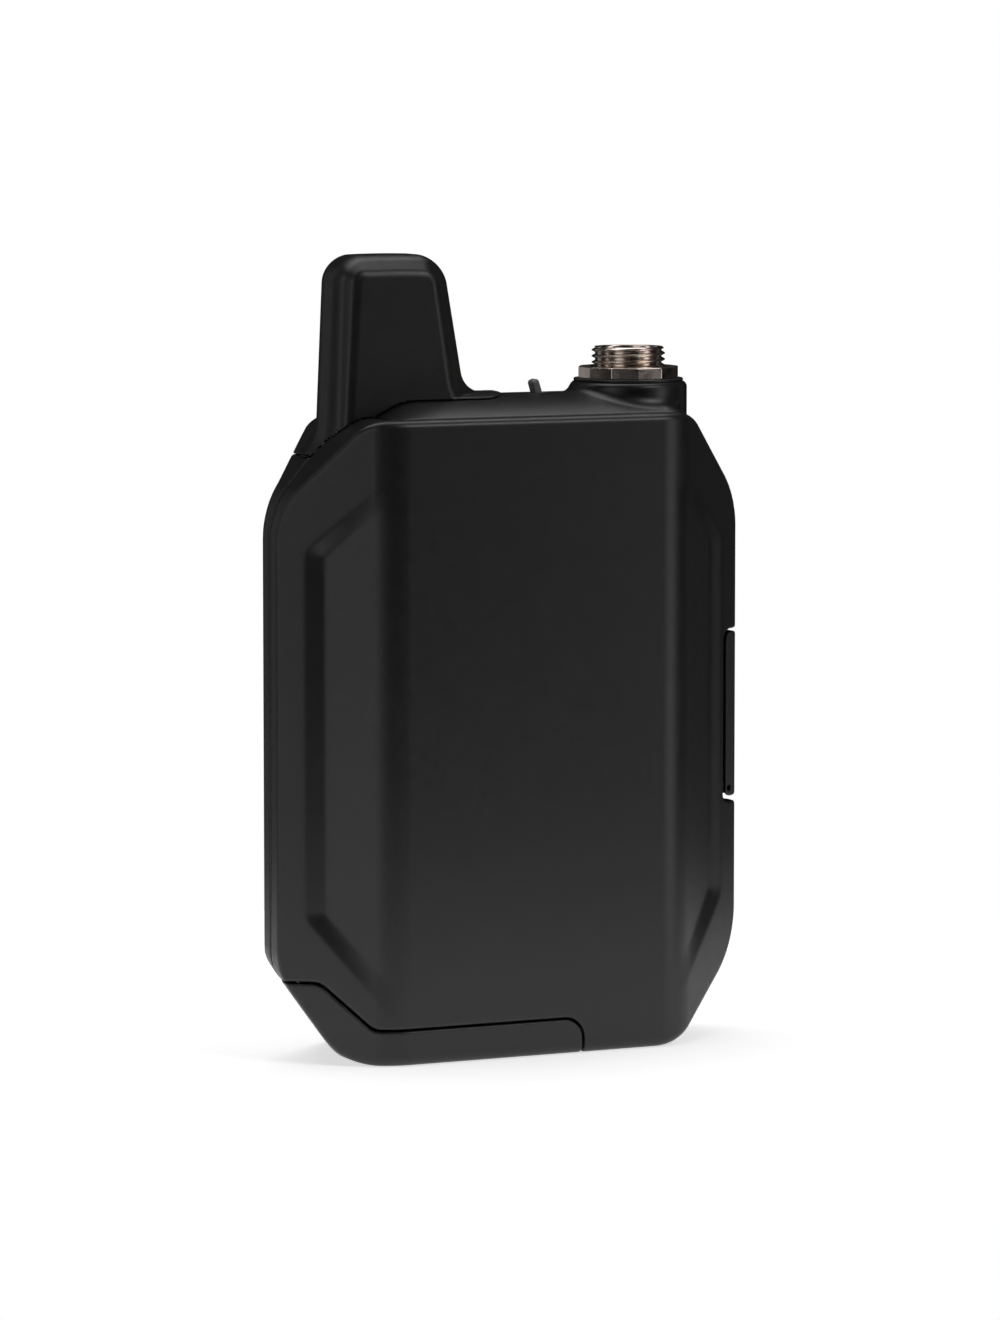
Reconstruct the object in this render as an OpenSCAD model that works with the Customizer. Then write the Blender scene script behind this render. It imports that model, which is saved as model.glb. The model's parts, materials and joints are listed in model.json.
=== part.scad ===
// Wireless bodypack transmitter: a slim metal case with a fin antenna cap, a threaded audio
// connector, a hinged battery door, a side port cover and a spring steel belt clip.
// Millimetres. X runs right, Y runs back, Z runs up. The origin is the middle of the bottom face.

/* [Case] */
// Width of the case across its side walls
body_w = 65; // [64:0.5:66]
// Depth of the case from front panel to rear panel
body_d = 23; // [22.5:0.25:24]
// Height of the case up to its flat top edge
body_h = 82; // [81.5:0.25:83]
// Wall thickness of both shells
wall = 1.5; // [1.2:0.1:1.6]
// Width of the front and rear panels, measured to their sharp corners
panel_w = 40.4; // [40:0.2:41]
// Distance of the side wall's front edge in front of the middle plane
side_front = 2.9; // [2.7:0.1:3.1]
// Distance of the side wall's rear edge behind the middle plane
side_rear = 1.8; // [1.7:0.1:2]
// Distance of the parting plane of the shells in front of the middle plane
parting = 0.6; // [0.5:0.1:0.8]
// Depth of the finger grips below the sloping flanks
grip_depth = 0.75; // [0.4:0.05:0.8]

/* [Top deck] */
// Height of the crest of the raised deck
deck_crest = 84.3; // [84:0.1:84.6]
// Half the depth of the deck where it meets the flat top
deck_half = 9.4; // [9.2:0.1:9.6]
// Outer diameter of the boss around the audio connector
boss_d = 15.2; // [15:0.1:15.6]
// Height of the top of the connector boss
boss_top = 85.7; // [85.5:0.1:85.9]

/* [Audio connector] */
// Distance of the connector's axis from the middle of the case
jack_x = 18.2; // [18:0.1:18.4]
// Major diameter of the connector's thread
thread_d = 9.525; // [9.5:0.005:9.55]
// Bore of the connector barrel
socket_d = 8.3; // [8.2:0.1:8.5]
// Height of the connector's rim
jack_top = 90.1; // [90:0.1:90.5]
// Width of the twelve-sided nut across its flats
nut_af = 12.7; // [12.5:0.1:13]

/* [Antenna cap] */
// Height of the top of the antenna cap
cap_top = 102.7; // [102:0.1:103]
// Distance of the cap's front face in front of the middle plane
cap_front = 4.6; // [4.4:0.1:4.8]
// Distance of the cap's rear face behind the middle plane
cap_rear = 3.4; // [3.2:0.1:3.6]

/* [Power switch] */
// Distance of the switch pivot from the middle of the case
switch_x = 5.9; // [5.8:0.1:6]
// Height of the switch pivot
switch_z = 81.6; // [81.5:0.1:81.7]
// Lean of the lever to the left when the switch is off
switch_lean = 17; // [16:0.5:18]

/* [Battery] */
// Width of the battery
cell_w = 26; // [25.5:0.1:26]
// Depth of the battery
cell_d = 7.4; // [7:0.1:7.4]
// Length of the battery
cell_l = 52; // [50:0.5:52]

/* [Battery door] */
// Height of the door's long seam
door_h = 4.5; // [4.4:0.1:4.6]
// Distance of the door's short seam from the middle of the case
door_x = 6.35; // [6.3:0.05:6.5]
// Width of the gap around the door
door_gap = 0.35; // [0.3:0.05:0.4]
// Wall thickness of the door
door_wall = 1.3; // [1.2:0.1:1.4]
// Diameter of the door's hinge pin
pin_d = 0.8; // [0.8:0.02:0.84]

/* [Side port bay] */
// Distance of the bay's back wall from the middle of the case
bay_x = 29.9; // [29.8:0.1:30]
// Height of the bay's lower end
bay_z = 30.4; // [30.2:0.1:30.6]
// Length of the bay
bay_l = 22.7; // [22.6:0.1:23]

/* [Belt clip] */
// Thickness of the clip's spring steel
clip_t = 1; // [0.9:0.1:1]
// Width of the clip
clip_w = 20; // [18:0.5:21]
// Gap between the case and the clip's tongue
clip_gap = 4.4; // [4.3:0.1:4.6]

/* [Hidden] */
$fn = 48;
half_w = body_w / 2;
half_d = body_d / 2;
far = 60;

// Outline corners are [x, y, radius] rows
flank_slope = (half_d - side_front) / (half_w - panel_w / 2);
section_rows = [
    [-panel_w / 2, -half_d, 8],
    [panel_w / 2, -half_d, 8],
    [half_w, -side_front, 0],
    [half_w, side_rear, 0],
    [panel_w / 2, half_d, 8],
    [-panel_w / 2, half_d, 8],
    [-half_w, side_rear, 0],
    [-half_w, -side_front, 0],
];
top_chamfer = [9.9, 11.5];
bottom_chamfer = [12.4, 11.2];
heel_chamfer = [6.85, 11.2];
outline_rows = [
    [-half_w + heel_chamfer[0], 0, 8],
    [half_w - bottom_chamfer[0], 0, 8],
    [half_w, bottom_chamfer[1], 12],
    [half_w, body_h - top_chamfer[1], 11],
    [half_w - top_chamfer[0], body_h, 5],
    [-half_w + top_chamfer[0], body_h, 5],
    [-half_w, body_h - top_chamfer[1], 11],
    [-half_w, heel_chamfer[1], 12],
];

// The lower left chamfer is the door's heel, which narrows from its front rim towards the rear
heel_draft = 13.4;
heel_lip = 0.1;
heel_points = [
    [-half_w, -side_front, heel_chamfer[1]],
    [
        -half_w + heel_chamfer[0],
        -half_d + flank_slope * (half_w - heel_chamfer[0] - panel_w / 2),
        0
    ],
    [-half_w + heel_draft, half_d, 0],
];

// Finger grips: a bracket-shaped outline, cut down to a shelf and a pad
grip_outer = 29.4;
grip_step = 27.2;
grip_inner = 19.5;
grip_low = [18.6, 5.1];
grip_high = [65.5, 76];

// Deck: an arc from the front lip over the crest to the rear
deck_r = (deck_half * deck_half + pow(deck_crest - body_h, 2)) / (2 * (deck_crest - body_h));
deck_axis_z = deck_crest - deck_r;
deck_left = -19.5;
deck_right = 21.2;
deck_floor = body_h - 3;
deck_skin = 1.4;

// Connector stack
boss_skin = 1.5;
barrel_d = 10.2;
flange_d = 12.6;
flange_t = 1.3;
barrel_low = 78.5;
washer_d = 14.2;
washer_t = 0.35;
nut_t = 1.5;
nut_top = boss_top + washer_t + nut_t;
rim_chamfer = 0.3;
insert_z = [79, 84.5];
pin_circle = 2.1;
contact_d = 0.95;
contact_z = [76.5, 85.6];

// Antenna cap and the aerial inside it
cap_rows = [
    [-26.4, 80.2, 0],
    [-2.6, 83, 0],
    [-5.9, 86.2, 3.5],
    [-8.3, cap_top - 0.3, 3.2],
    [-24, cap_top - 0.1, 3.2],
    [-25.3, 88, 12],
];
cap_face_rows = [
    [-23.2, 84, 0],
    [-8.9, 84, 0],
    [-11.6, cap_top - 2.6, 1.5],
    [-22.4, cap_top - 2.4, 1.5],
];
// The cap's foot: its lower edge on the chamfer, then its front edge back to the deck's lip
foot_low = 77.1;
foot_rows = [
    [-29.4, 7.6],
    [-29.4, -parting],
    [-26.3, -parting],
    [-22.6, -3.6],
    [-19.5, -cap_front],
    [-19.5, 7.6],
];
// The cap's pad on the deck, with a round right end
pad_rows = [
    [-21, -cap_front, 0],
    [-0.8, -cap_front, 3.5],
    [-0.8, cap_rear, 3.5],
    [-21, cap_rear, 0],
];
pad_rise = 0.35;
cap_lift = 0.03;
aerial = [-21, -12.5, 74.5, 98.6];
aerial_t = 0.8;

// Power switch
lever_w = 1.2;
lever_d = 1.6;
lever_tip = 86;
slot_x = [4.1, 7.35];
slot_half = 1.1;
switch_box = [2.2, 9.4, 75.5, 80.4];
lamp_x = 8.5;
lamp_d = 1.2;

// Battery, its sleeve and its contacts
cell_x = -21.5;
cell_y = -3.2;
cell_z = 5.8;
cell_play = 0.3;
sleeve_t = 0.8;
sleeve_top = cell_z + cell_l + 0.8;
block_t = 3.2;
contact_xs = [for (i = [0 : 3]) cell_x + cell_w / 2 - 6 + 4 * i];

// Circuit boards
board_y = -5.6;
board_t = 1;

// Door hinge, along the rear lower edge
hinge_y = half_d - 0.85;
hinge_z = door_h - 0.85;
knuckle_r = 0.85;
hinge_x = [-17, 3];
lug_x = [-11.9, -2.1];
side_play = 0.1;
bore_play = 0.03;

// Door lock
lock_y = -6;
lock_z = [1.45, 2.35];
lock_x = [-6, 5.6];
lock_half = 2.4;
knob_x = [-3.4, 0.6];
knob_half = 1.7;
lock_travel = 2.5;
catch_wall = 1.3;

// Port bay
bay_top = bay_z + bay_l;
bay_wall = 1.3;
cover_x = 30.4;
cover_z = [31.1, 52.7];
cover_wall = 0.6;
cover_pin = [31.1, 32.2];
cover_pin_d = 0.8;
cover_knuckle_r = 0.65;
cover_lug_y = [[-2.5, -1.4], [0.3, 1.3]];
port_z = 38.6;
port_size = [7.3, 3.2, 8.9];
port_y = -0.4;
button_z = 48;
button_d = 3.6;

// Belt clip
clip_top = 76.5;
clip_low = 61.5;
tongue_low = 17;
tongue_y = half_d + clip_gap;
bend_mid = half_d + (clip_gap + clip_t) / 2;
bend_r = clip_gap / 2;
bend_gap = 9;

// Screws
case_screws_at = [[-13.5, 67], [13.5, 67], [13.5, 10]];
clip_screws_at = [[-5, 68], [5, 68]];
boss_r = 2.6;

// Direction of a vector
function unit(v) = v / norm(v);

// Points of the arc that rounds corner b between its neighbours a and c
function corner_arc(a, b, c, r, steps) =
    r == 0 ? [b] :
    let (
        u = unit(a - b),
        v = unit(c - b),
        half = acos(u * v) / 2,
        middle = b + unit(u + v) * r / sin(half),
        first = b + u * r / tan(half) - middle,
        last = b + v * r / tan(half) - middle,
        start = atan2(first[1], first[0]),
        turn = atan2(last[1], last[0]) - start,
        sweep = turn > 180 ? turn - 360 : turn < -180 ? turn + 360 : turn
    )
    [for (k = [0 : steps]) let (t = start + sweep * k / steps) middle + r * [cos(t), sin(t)]];

// Closed outline from [x, y, radius] rows
function rounded(rows, steps = 4) =
    let (n = len(rows), p = [for (row = rows) [row[0], row[1]]])
    [
        for (i = [0 : n - 1])
            each corner_arc(p[(i + n - 1) % n], p[i], p[(i + 1) % n], rows[i][2], steps)
    ];

// Anticlockwise outline moved inwards by t
function inset(p, t) =
    let (n = len(p))
    [for (i = [0 : n - 1])
        let (
            u = unit(p[i] - p[(i + n - 1) % n]),
            v = unit(p[(i + 1) % n] - p[i]),
            nu = [-u[1], u[0]],
            nv = [-v[1], v[0]]
        )
        p[i] + t * (nu + nv) / (1 + nu * nv)];

// Box between two corners
module span(x, y, z) {
    translate([x[0], y[0], z[0]])
        cube([x[1] - x[0], y[1] - y[0], z[1] - z[0]]);
}

// XZ outline pushed along Y
module face_prism(points, y) {
    translate([0, y[1], 0])
        rotate([90, 0, 0])
            linear_extrude(y[1] - y[0])
                polygon(points);
}

// YZ outline pushed along X
module side_prism(points, x) {
    translate([x[0], 0, 0])
        rotate([90, 0, 90])
            linear_extrude(x[1] - x[0])
                polygon(points);
}

// Cylinder along X, Y or Z between two places on that axis
module rod_x(r, x, y, z) {
    translate([x[0], y, z])
        rotate([0, 90, 0])
            cylinder(r = r, h = x[1] - x[0]);
}

module rod_y(r, x, y, z) {
    translate([x, y[1], z])
        rotate([90, 0, 0])
            cylinder(r = r, h = y[1] - y[0]);
}

module rod_z(r, x, y, z) {
    translate([x, y, z[0]])
        cylinder(r = r, h = z[1] - z[0]);
}

// Solid of the closed case, moved inwards by t
module case_solid(t) {
    difference() {
        intersection() {
            translate([0, 0, -far])
                linear_extrude(4 * far)
                    polygon(inset(rounded(section_rows), t));
            face_prism(inset(rounded(outline_rows), t), [-far, far]);
        }
        heel_side(heel_lip - t);
    }
}

// Space beyond the plane of the heel's drafted side, which is moved outwards by g
module heel_side(g) {
    out = unit(cross(heel_points[1] - heel_points[0], heel_points[0] - heel_points[2]));
    translate(heel_points[0])
        rotate([0, acos(out[2]), atan2(out[1], out[0])])
            translate([-far, -far, g])
                cube(2 * far);
}

// Space of the battery door, grown by g
module door_space(g) {
    rows = [
        [-far, -far, 0],
        [door_x + g, -far, 0],
        [door_x + g, door_h + g, 2.5 + g],
        [-22.3, door_h + g, 2],
        [-28, 10.4 + g, 2],
        [-far, 10.4 + g, 0],
    ];
    face_prism(rounded(rows), [-far, far]);
}

// Space of the side port bay, grown by g
module bay_space(g) {
    span([bay_x - g, far], [-far, far], [bay_z - g, bay_top + g]);
}

// Space inside the closed shells
module hollow() {
    difference() {
        case_solid(wall);
        bay_space(bay_wall);
        span([door_x + door_gap, door_x + door_gap + catch_wall], [-far, far], [-1, door_h + 1]);
    }
}

// Both finger grips
module grips() {
    shelf_y = -side_front - flank_slope * (half_w - grip_step) + grip_depth;
    edge_y = -side_front - flank_slope * (half_w - grip_outer);
    bracket = [
        [-grip_outer, grip_low[0]],
        [-grip_inner, grip_low[1]],
        [-grip_inner, grip_high[1]],
        [-grip_outer, grip_high[0]],
    ];
    for (side = [0, 1])
        mirror([side, 0, 0])
            intersection() {
                translate([0, 0, -1])
                    linear_extrude(body_h)
                        polygon([
                            [-grip_outer, edge_y],
                            [-grip_outer, -half_d - 1],
                            [-grip_inner, -half_d - 1],
                            [-panel_w / 2, -half_d],
                            [-grip_step, shelf_y],
                        ]);
                face_prism(bracket, [-far, 0]);
            }
}

// Arch of the deck, which falls away at its right end as the case's corner does
module deck_arch() {
    shoulder = body_h - 0.3;
    rise = deck_crest - shoulder + 1;
    fall = rise * top_chamfer[0] / top_chamfer[1];
    ends = [
        [deck_left, deck_floor],
        [deck_right, deck_floor],
        [deck_right, shoulder],
        [deck_right - fall, shoulder + rise],
        [deck_left, shoulder + rise],
    ];
    intersection() {
        face_prism(ends, [-deck_half, half_d]);
        rod_x(deck_r, [deck_left, deck_right], 0, deck_axis_z, $fn = 96);
    }
}

// Raised deck and connector boss
module deck() {
    deck_arch();
    rod_z(boss_d / 2, jack_x, 0, [74, boss_top]);
}

// Holes for the case screws through the rear and into the front
module case_screw_holes(r, y) {
    for (p = case_screws_at)
        rod_y(r, p[0], y, p[1]);
}

module front_shell() {
    color("#2b2c2e")
    difference() {
        union() {
            difference() {
                intersection() {
                    case_solid(0);
                    span([-far, far], [-far, -parting], [-far, 2 * far]);
                }
                hollow();
            }
            case_screw_holes(boss_r, [-half_d + wall / 2, board_y]);
        }
        span([deck_left, deck_right], [-deck_half, 0], [deck_floor, 2 * far]);
        rod_z(boss_d / 2, jack_x, 0, [74, 2 * far]);
        grips();
        bay_space(0);
        bay_holes();
        door_space(door_gap);
        case_screw_holes(1, [-half_d + 2, 0]);
        lock_window();
        foot_block(0.1);
    }
    cover_lug(0);
}

// Holes in the bay's back wall for the port and the button
module bay_holes() {
    port_block(-0.1);
    rod_x(button_d / 2, [bay_x - 2, bay_x + 1], port_y, button_z);
}

// Window in the catch wall that the door lock enters
module lock_window() {
    span(
        [door_x, door_x + door_gap + catch_wall + 1],
        [lock_y - lock_half - 0.3, lock_y + lock_half + 0.3],
        [lock_z[0] - 0.25, lock_z[1] + 0.25]
    );
}

// Ear on the bay's back wall that carries the cover's pin
module cover_lug(i) {
    y = cover_lug_y[i];
    difference() {
        union() {
            rod_y(cover_knuckle_r, cover_pin[0], y, cover_pin[1]);
            span([bay_x - 0.2, cover_pin[0]], y, [cover_pin[1] - 0.6, cover_pin[1] + 0.6]);
        }
        rod_y(cover_pin_d / 2, cover_pin[0], [y[0] - 1, y[1] + 1], cover_pin[1]);
    }
}

// Corner of the case that belongs to the antenna cap, grown by g
module foot_block(g) {
    translate([0, 0, foot_low - g])
        linear_extrude(body_h + 1 - foot_low)
            polygon(inset(foot_rows, -g));
}

module rear_shell() {
    color("#2b2c2e")
    difference() {
        union() {
            difference() {
                intersection() {
                    case_solid(0);
                    span([-far, far], [-parting, far], [-far, 2 * far]);
                }
                hollow();
                foot_block(0.1);
            }
            difference() {
                deck();
                case_solid(wall);
                foot_block(0.1);
            }
            case_screw_holes(boss_r, [board_y + board_t, half_d - wall / 2]);
            for (p = clip_screws_at)
                rod_y(2.4, p[0], [half_d - 4, half_d - wall / 2], p[1]);
        }
        // Underside of the deck
        intersection() {
            span(
                [deck_left + deck_skin, jack_x - 8],
                [-deck_half + deck_skin, deck_half],
                [deck_floor - 1, 2 * far]
            );
            rod_x(deck_r - deck_skin, [deck_left, deck_right], 0, deck_axis_z, $fn = 96);
        }
        // Connector seat
        rod_z(flange_d / 2 + 0.1, jack_x, 0, [73, boss_top - boss_skin]);
        rod_z(barrel_d / 2 + 0.1, jack_x, 0, [73, boss_top + 1]);
        // Switch slot, lamp hole and aerial slot
        span(slot_x, [-slot_half, slot_half], [80, 90]);
        rod_z(lamp_d / 2 + 0.02, lamp_x, 0, [80, 90]);
        span([aerial[0] - 0.6, aerial[1] + 0.6], [-1.2, 1.2], [70, 90]);
        bay_space(0);
        bay_holes();
        difference() {
            door_space(door_gap);
            hinge_lug();
        }
        // Square corner of the door's seam beside its hinge
        span([door_x - 3, door_x + door_gap], [hinge_y - 1.4, far], [-1, door_h + door_gap]);
        lock_window();
        case_screw_holes(1.05, [-half_d, half_d + 1]);
        case_screw_holes(2, [half_d - 1.7, half_d + 1]);
        for (p = clip_screws_at)
            rod_y(1.25, p[0], [half_d - 5, half_d + 1], p[1]);
        rod_x(pin_d / 2, [hinge_x[0], hinge_x[1]], hinge_y, hinge_z);
        // Shallow seat of the rear label
        span([-14.3, 14.3], [half_d - 0.35, half_d + 1], [17.7, 56.3]);
    }
    cover_lug(1);
}

// Rear shell's share of the door hinge
module hinge_lug() {
    rod_x(knuckle_r, lug_x, hinge_y, hinge_z);
    span(lug_x, [hinge_y - 0.65, half_d], [hinge_z, door_h + door_gap + 0.5]);
}

module antenna_cap() {
    color("#222325")
    difference() {
        union() {
            hull() {
                face_prism(rounded(cap_face_rows), [-cap_front, -cap_front + 0.1]);
                face_prism(rounded(cap_rows), [-2.6, 1.8]);
                face_prism(rounded(cap_face_rows), [cap_rear - 0.1, cap_rear]);
            }
            intersection() {
                case_solid(0);
                foot_block(0);
            }
            intersection() {
                linear_extrude(2 * far)
                    polygon(rounded(pad_rows));
                rod_x(deck_r + pad_rise, [-far, 0], 0, deck_axis_z, $fn = 96);
            }
        }
        case_solid(wall);
        difference() {
            case_solid(0);
            foot_block(0);
        }
        rod_x(deck_r + cap_lift, [deck_left - 0.1, 0], 0, deck_axis_z, $fn = 96);
        // Space for the aerial
        span([aerial[0] - 0.6, aerial[1] + 0.6], [-1.2, 1.2], [70, aerial[3] + 0.6]);
    }
}

module antenna_element() {
    color("#2f6b3a")
    difference() {
        face_prism(
            [
                [aerial[0] + 1.5, aerial[2]],
                [aerial[1] - 1.5, aerial[2]],
                [aerial[1], aerial[2] + 12],
                [aerial[1] - 0.8, aerial[3]],
                [aerial[0] + 0.8, aerial[3]],
                [aerial[0], aerial[2] + 12],
            ],
            [-aerial_t / 2, aerial_t / 2]
        );
        rod_y(0.8, (aerial[0] + aerial[1]) / 2, [-1, 1], aerial[2] + 8);
    }
}

module main_board() {
    color("#1f5d34")
    difference() {
        union() {
            span([-16, 9.5], [board_y, board_y + board_t], [61, 79.5]);
            span([-16, 24], [board_y, board_y + board_t], [7, 72.5]);
        }
        case_screw_holes(boss_r + 0.3, [-half_d, half_d]);
    }
}

module rf_shield() {
    color("silver")
    difference() {
        span([-8, 8], [board_y - 2.6, board_y], [40, 60]);
        span([-7.8, 7.8], [board_y - 2.4, board_y + 1], [40.2, 59.8]);
    }
}

module io_board() {
    color("#1f5d34")
    span([12, 28.3], [-3, -2.2], [32.4, 52]);
}

module usb_socket() {
    color("silver")
    difference() {
        port_block(0);
        difference() {
            port_block(0.3);
            span([0, bay_x - 5.8], [-far, far], [0, far]);
        }
    }
    span(
        [bay_x - 6, bay_x - 0.8],
        [port_y - 0.35, port_y + 0.35],
        [port_z - 3.3, port_z + 3.3]
    );
}

// Rounded block of the port's metal shell, moved inwards by t
module port_block(t) {
    r = port_size[1] / 2 - t;
    reach = port_size[2] / 2 - port_size[1] / 2;
    x = [bay_x - port_size[0] - 0.1 + t, bay_x - 0.1 + (t == 0 ? 0 : 1)];
    span(x, [port_y - r, port_y + r], [port_z - reach, port_z + reach]);
    for (side = [-1, 1])
        rod_x(r, x, port_y, port_z + side * reach);
}

module link_switch() {
    color("#3a3a3c")
    span([23.4, 27.4], [-2.2, 1.8], [button_z - 2.8, button_z + 2.8]);
    color("gainsboro")
    rod_x(0.9, [27.4, 28.1], port_y, button_z);
}

module link_button() {
    color("#1d1d1f")
    rod_x(button_d / 2 - 0.1, [28.6, 30], port_y, button_z);
}

module port_cover() {
    color("#1c1c1e")
    difference() {
        intersection() {
            case_solid(0);
            face_prism(
                [
                    [cover_x, cover_z[0] + 0.5],
                    [cover_x + 0.5, cover_z[0]],
                    [half_w - 0.4, cover_z[0]],
                    [half_w, cover_z[0] + 0.4],
                    [half_w, cover_z[1]],
                    [cover_x, cover_z[1]],
                ],
                [-far, far]
            );
        }
        intersection() {
            case_solid(cover_wall);
            span([0, far], [-far, far], [0, cover_z[1] - cover_wall]);
        }
    }
    knuckle_y = [cover_lug_y[0][1] + side_play, cover_lug_y[1][0] - side_play];
    difference() {
        intersection() {
            union() {
                rod_y(cover_knuckle_r, cover_pin[0], knuckle_y, cover_pin[1]);
                span([cover_pin[0], half_w], knuckle_y, [cover_pin[1] - 0.6, cover_pin[1] + 0.6]);
            }
            case_solid(0.2);
        }
        rod_y(cover_pin_d / 2 + bore_play, cover_pin[0], [-5, 5], cover_pin[1]);
    }
}

module port_cover_pin() {
    color("silver")
    rod_y(cover_pin_d / 2, cover_pin[0], [cover_lug_y[0][0], cover_lug_y[1][1]], cover_pin[1]);
}

module power_switch_body() {
    color("#303033")
    difference() {
        span([switch_box[0], switch_box[1]], [board_y + board_t, 2.6], [switch_box[2], switch_box[3]]);
        span(
            [switch_x - 1.9, switch_x + 1.9],
            [-slot_half, slot_half],
            [switch_box[2] + 1.5, switch_box[3] + 1]
        );
    }
    for (y = [[-slot_half - 1, -slot_half + 0.05], [slot_half - 0.05, slot_half + 1]])
        difference() {
            span([switch_x - 1.2, switch_x + 1.2], y, [switch_box[3] - 0.5, switch_z + 0.9]);
            rod_y(0.5 + bore_play, switch_x, [-3, 3], switch_z);
        }
}

module power_switch_lever() {
    color("#8e8f92")
    translate([switch_x, 0, switch_z])
        rotate([0, -switch_lean, 0])
            union() {
                rod_y(0.5, 0, [-slot_half - 0.8, slot_half + 0.8], 0);
                rod_y(lever_w / 2 + 0.15, 0, [-lever_d / 2, lever_d / 2], 0);
                span(
                    [-lever_w / 2, lever_w / 2],
                    [-lever_d / 2, lever_d / 2],
                    [-2.6, lever_tip - switch_z]
                );
            }
}

module led_light_pipe() {
    color("#b9c2c0")
    union() {
        rod_z(lamp_d / 2, lamp_x, 0, [80.4, deck_crest + 0.1]);
        rod_z(lamp_d / 2 + 0.4, lamp_x, 0, [80.4, 80.9]);
    }
}

module connector_barrel() {
    color("#b5a58e")
    translate([jack_x, 0, 0])
        rotate_extrude($fn = 96)
            polygon([
                [socket_d / 2, barrel_low],
                [barrel_d / 2, barrel_low],
                [barrel_d / 2, boss_top - boss_skin - flange_t],
                [flange_d / 2, boss_top - boss_skin - flange_t],
                [flange_d / 2, boss_top - boss_skin],
                [barrel_d / 2, boss_top - boss_skin],
                [barrel_d / 2, nut_top],
                [thread_d / 2, nut_top],
                [thread_d / 2, jack_top - rim_chamfer],
                [thread_d / 2 - rim_chamfer, jack_top],
                [socket_d / 2, jack_top],
            ]);
}

module connector_insert() {
    color("#202022")
    difference() {
        rod_z(socket_d / 2, jack_x, 0, insert_z);
        for (a = [45 : 90 : 315])
            rod_z(contact_d / 2, jack_x + pin_circle * cos(a), pin_circle * sin(a), [70, 90]);
    }
}

module connector_pins() {
    color("#c9a85c")
    for (a = [45 : 90 : 315])
        rod_z(contact_d / 2, jack_x + pin_circle * cos(a), pin_circle * sin(a), contact_z);
}

module connector_washer() {
    color("#a79d90")
    difference() {
        rod_z(washer_d / 2, jack_x, 0, [boss_top, boss_top + washer_t]);
        rod_z(barrel_d / 2 + 0.1, jack_x, 0, [80, 90]);
    }
}

module connector_nut() {
    color("#b5a58e")
    difference() {
        translate([jack_x, 0, boss_top + washer_t])
            rotate([0, 0, 15])
                cylinder(d = nut_af / cos(15), h = nut_t, $fn = 12);
        rod_z(barrel_d / 2, jack_x, 0, [80, 90]);
    }
}

module battery() {
    color("#3d4046")
    span([cell_x, cell_x + cell_w], [cell_y, cell_y + cell_d], [cell_z, cell_z + cell_l]);
}

module battery_sleeve() {
    color("#151517")
    difference() {
        sleeve_block(cell_play + sleeve_t, [cell_z - 0.4, sleeve_top]);
        sleeve_block(cell_play, [0, 2 * far]);
    }
}

// Block around the battery with a margin m on its four sides
module sleeve_block(m, z) {
    span([cell_x - m, cell_x + cell_w + m], [cell_y - m, cell_y + cell_d + m], z);
}

module contact_block() {
    color("#1b1b1d")
    difference() {
        sleeve_block(cell_play + sleeve_t, [sleeve_top, sleeve_top + block_t]);
        for (x = contact_xs)
            span(
                [x - 1, x + 1],
                [cell_y + 2, cell_y + cell_d - 2],
                [sleeve_top - 1, sleeve_top + block_t - 1]
            );
    }
}

module battery_contacts() {
    color("gold")
    for (x = contact_xs)
        span(
            [x - 0.8, x + 0.8],
            [cell_y + 2.4, cell_y + cell_d - 2.4],
            [cell_z + cell_l, sleeve_top + block_t - 1]
        );
}

module battery_door() {
    color("#2b2c2e")
    difference() {
        union() {
            difference() {
                intersection() {
                    case_solid(0);
                    door_space(0);
                }
                intersection() {
                    case_solid(door_wall);
                    span([-far, door_x - door_wall], [-far, far], [0, far]);
                }
                // Rear upper edge, rounded about the hinge pin
                difference() {
                    span([-far, far], [hinge_y, far], [hinge_z, far]);
                    rod_x(knuckle_r, [-far, far], hinge_y, hinge_z);
                }
            }
            for (x = [[hinge_x[0], lug_x[0] - side_play], [lug_x[1] + side_play, hinge_x[1]]])
                rod_x(knuckle_r, x, hinge_y, hinge_z);
        }
        span([lug_x[0] - side_play, lug_x[1] + side_play], [hinge_y - 1.2, far], [hinge_z - 1.3, far]);
        rod_x(pin_d / 2 + bore_play, [hinge_x[0] - 0.3, hinge_x[1] + 0.3], hinge_y, hinge_z);
        // Slot of the lock's knob and window of its tongue
        span(
            [knob_x[0] - 0.3, knob_x[1] + lock_travel + 0.3],
            [lock_y - knob_half - 0.2, lock_y + knob_half + 0.2],
            [-1, door_wall + 1]
        );
        span(
            [door_x - door_wall - 1, door_x + 1],
            [lock_y - lock_half - 0.2, lock_y + lock_half + 0.2],
            [lock_z[0] - 0.1, lock_z[1] + 0.1]
        );
    }
}

module door_hinge_pin() {
    color("silver")
    rod_x(pin_d / 2, hinge_x, hinge_y, hinge_z);
}

module door_lock_lever() {
    color("#1a1a1c")
    union() {
        span(lock_x, [lock_y - lock_half, lock_y + lock_half], lock_z);
        span(knob_x, [lock_y - knob_half, lock_y + knob_half], [0.2, lock_z[0] + 0.1]);
    }
}

module clip_base() {
    color("#2e2f31")
    difference() {
        union() {
            span([-clip_w / 2, clip_w / 2], [half_d, half_d + clip_t], [clip_low, clip_top]);
            clip_bend(90 + bend_gap, 180);
        }
        for (p = clip_screws_at)
            rod_y(1.35, p[0], [half_d - 1, half_d + clip_t + 1], p[1]);
    }
}

// Stretch of the clip's upper bend between two angles, measured from +Y towards +Z
module clip_bend(from, to) {
    angles = [for (k = [0 : 6]) from + (to - from) * k / 6];
    outer = bend_r + clip_t / 2;
    inner = bend_r - clip_t / 2;
    side_prism(
        [
            for (t = angles) [bend_mid + outer * cos(t), clip_top + outer * sin(t)],
            for (k = [6 : -1 : 0]) [bend_mid + inner * cos(angles[k]), clip_top + inner * sin(angles[k])],
        ],
        [-clip_w / 2, clip_w / 2]
    );
}

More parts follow.
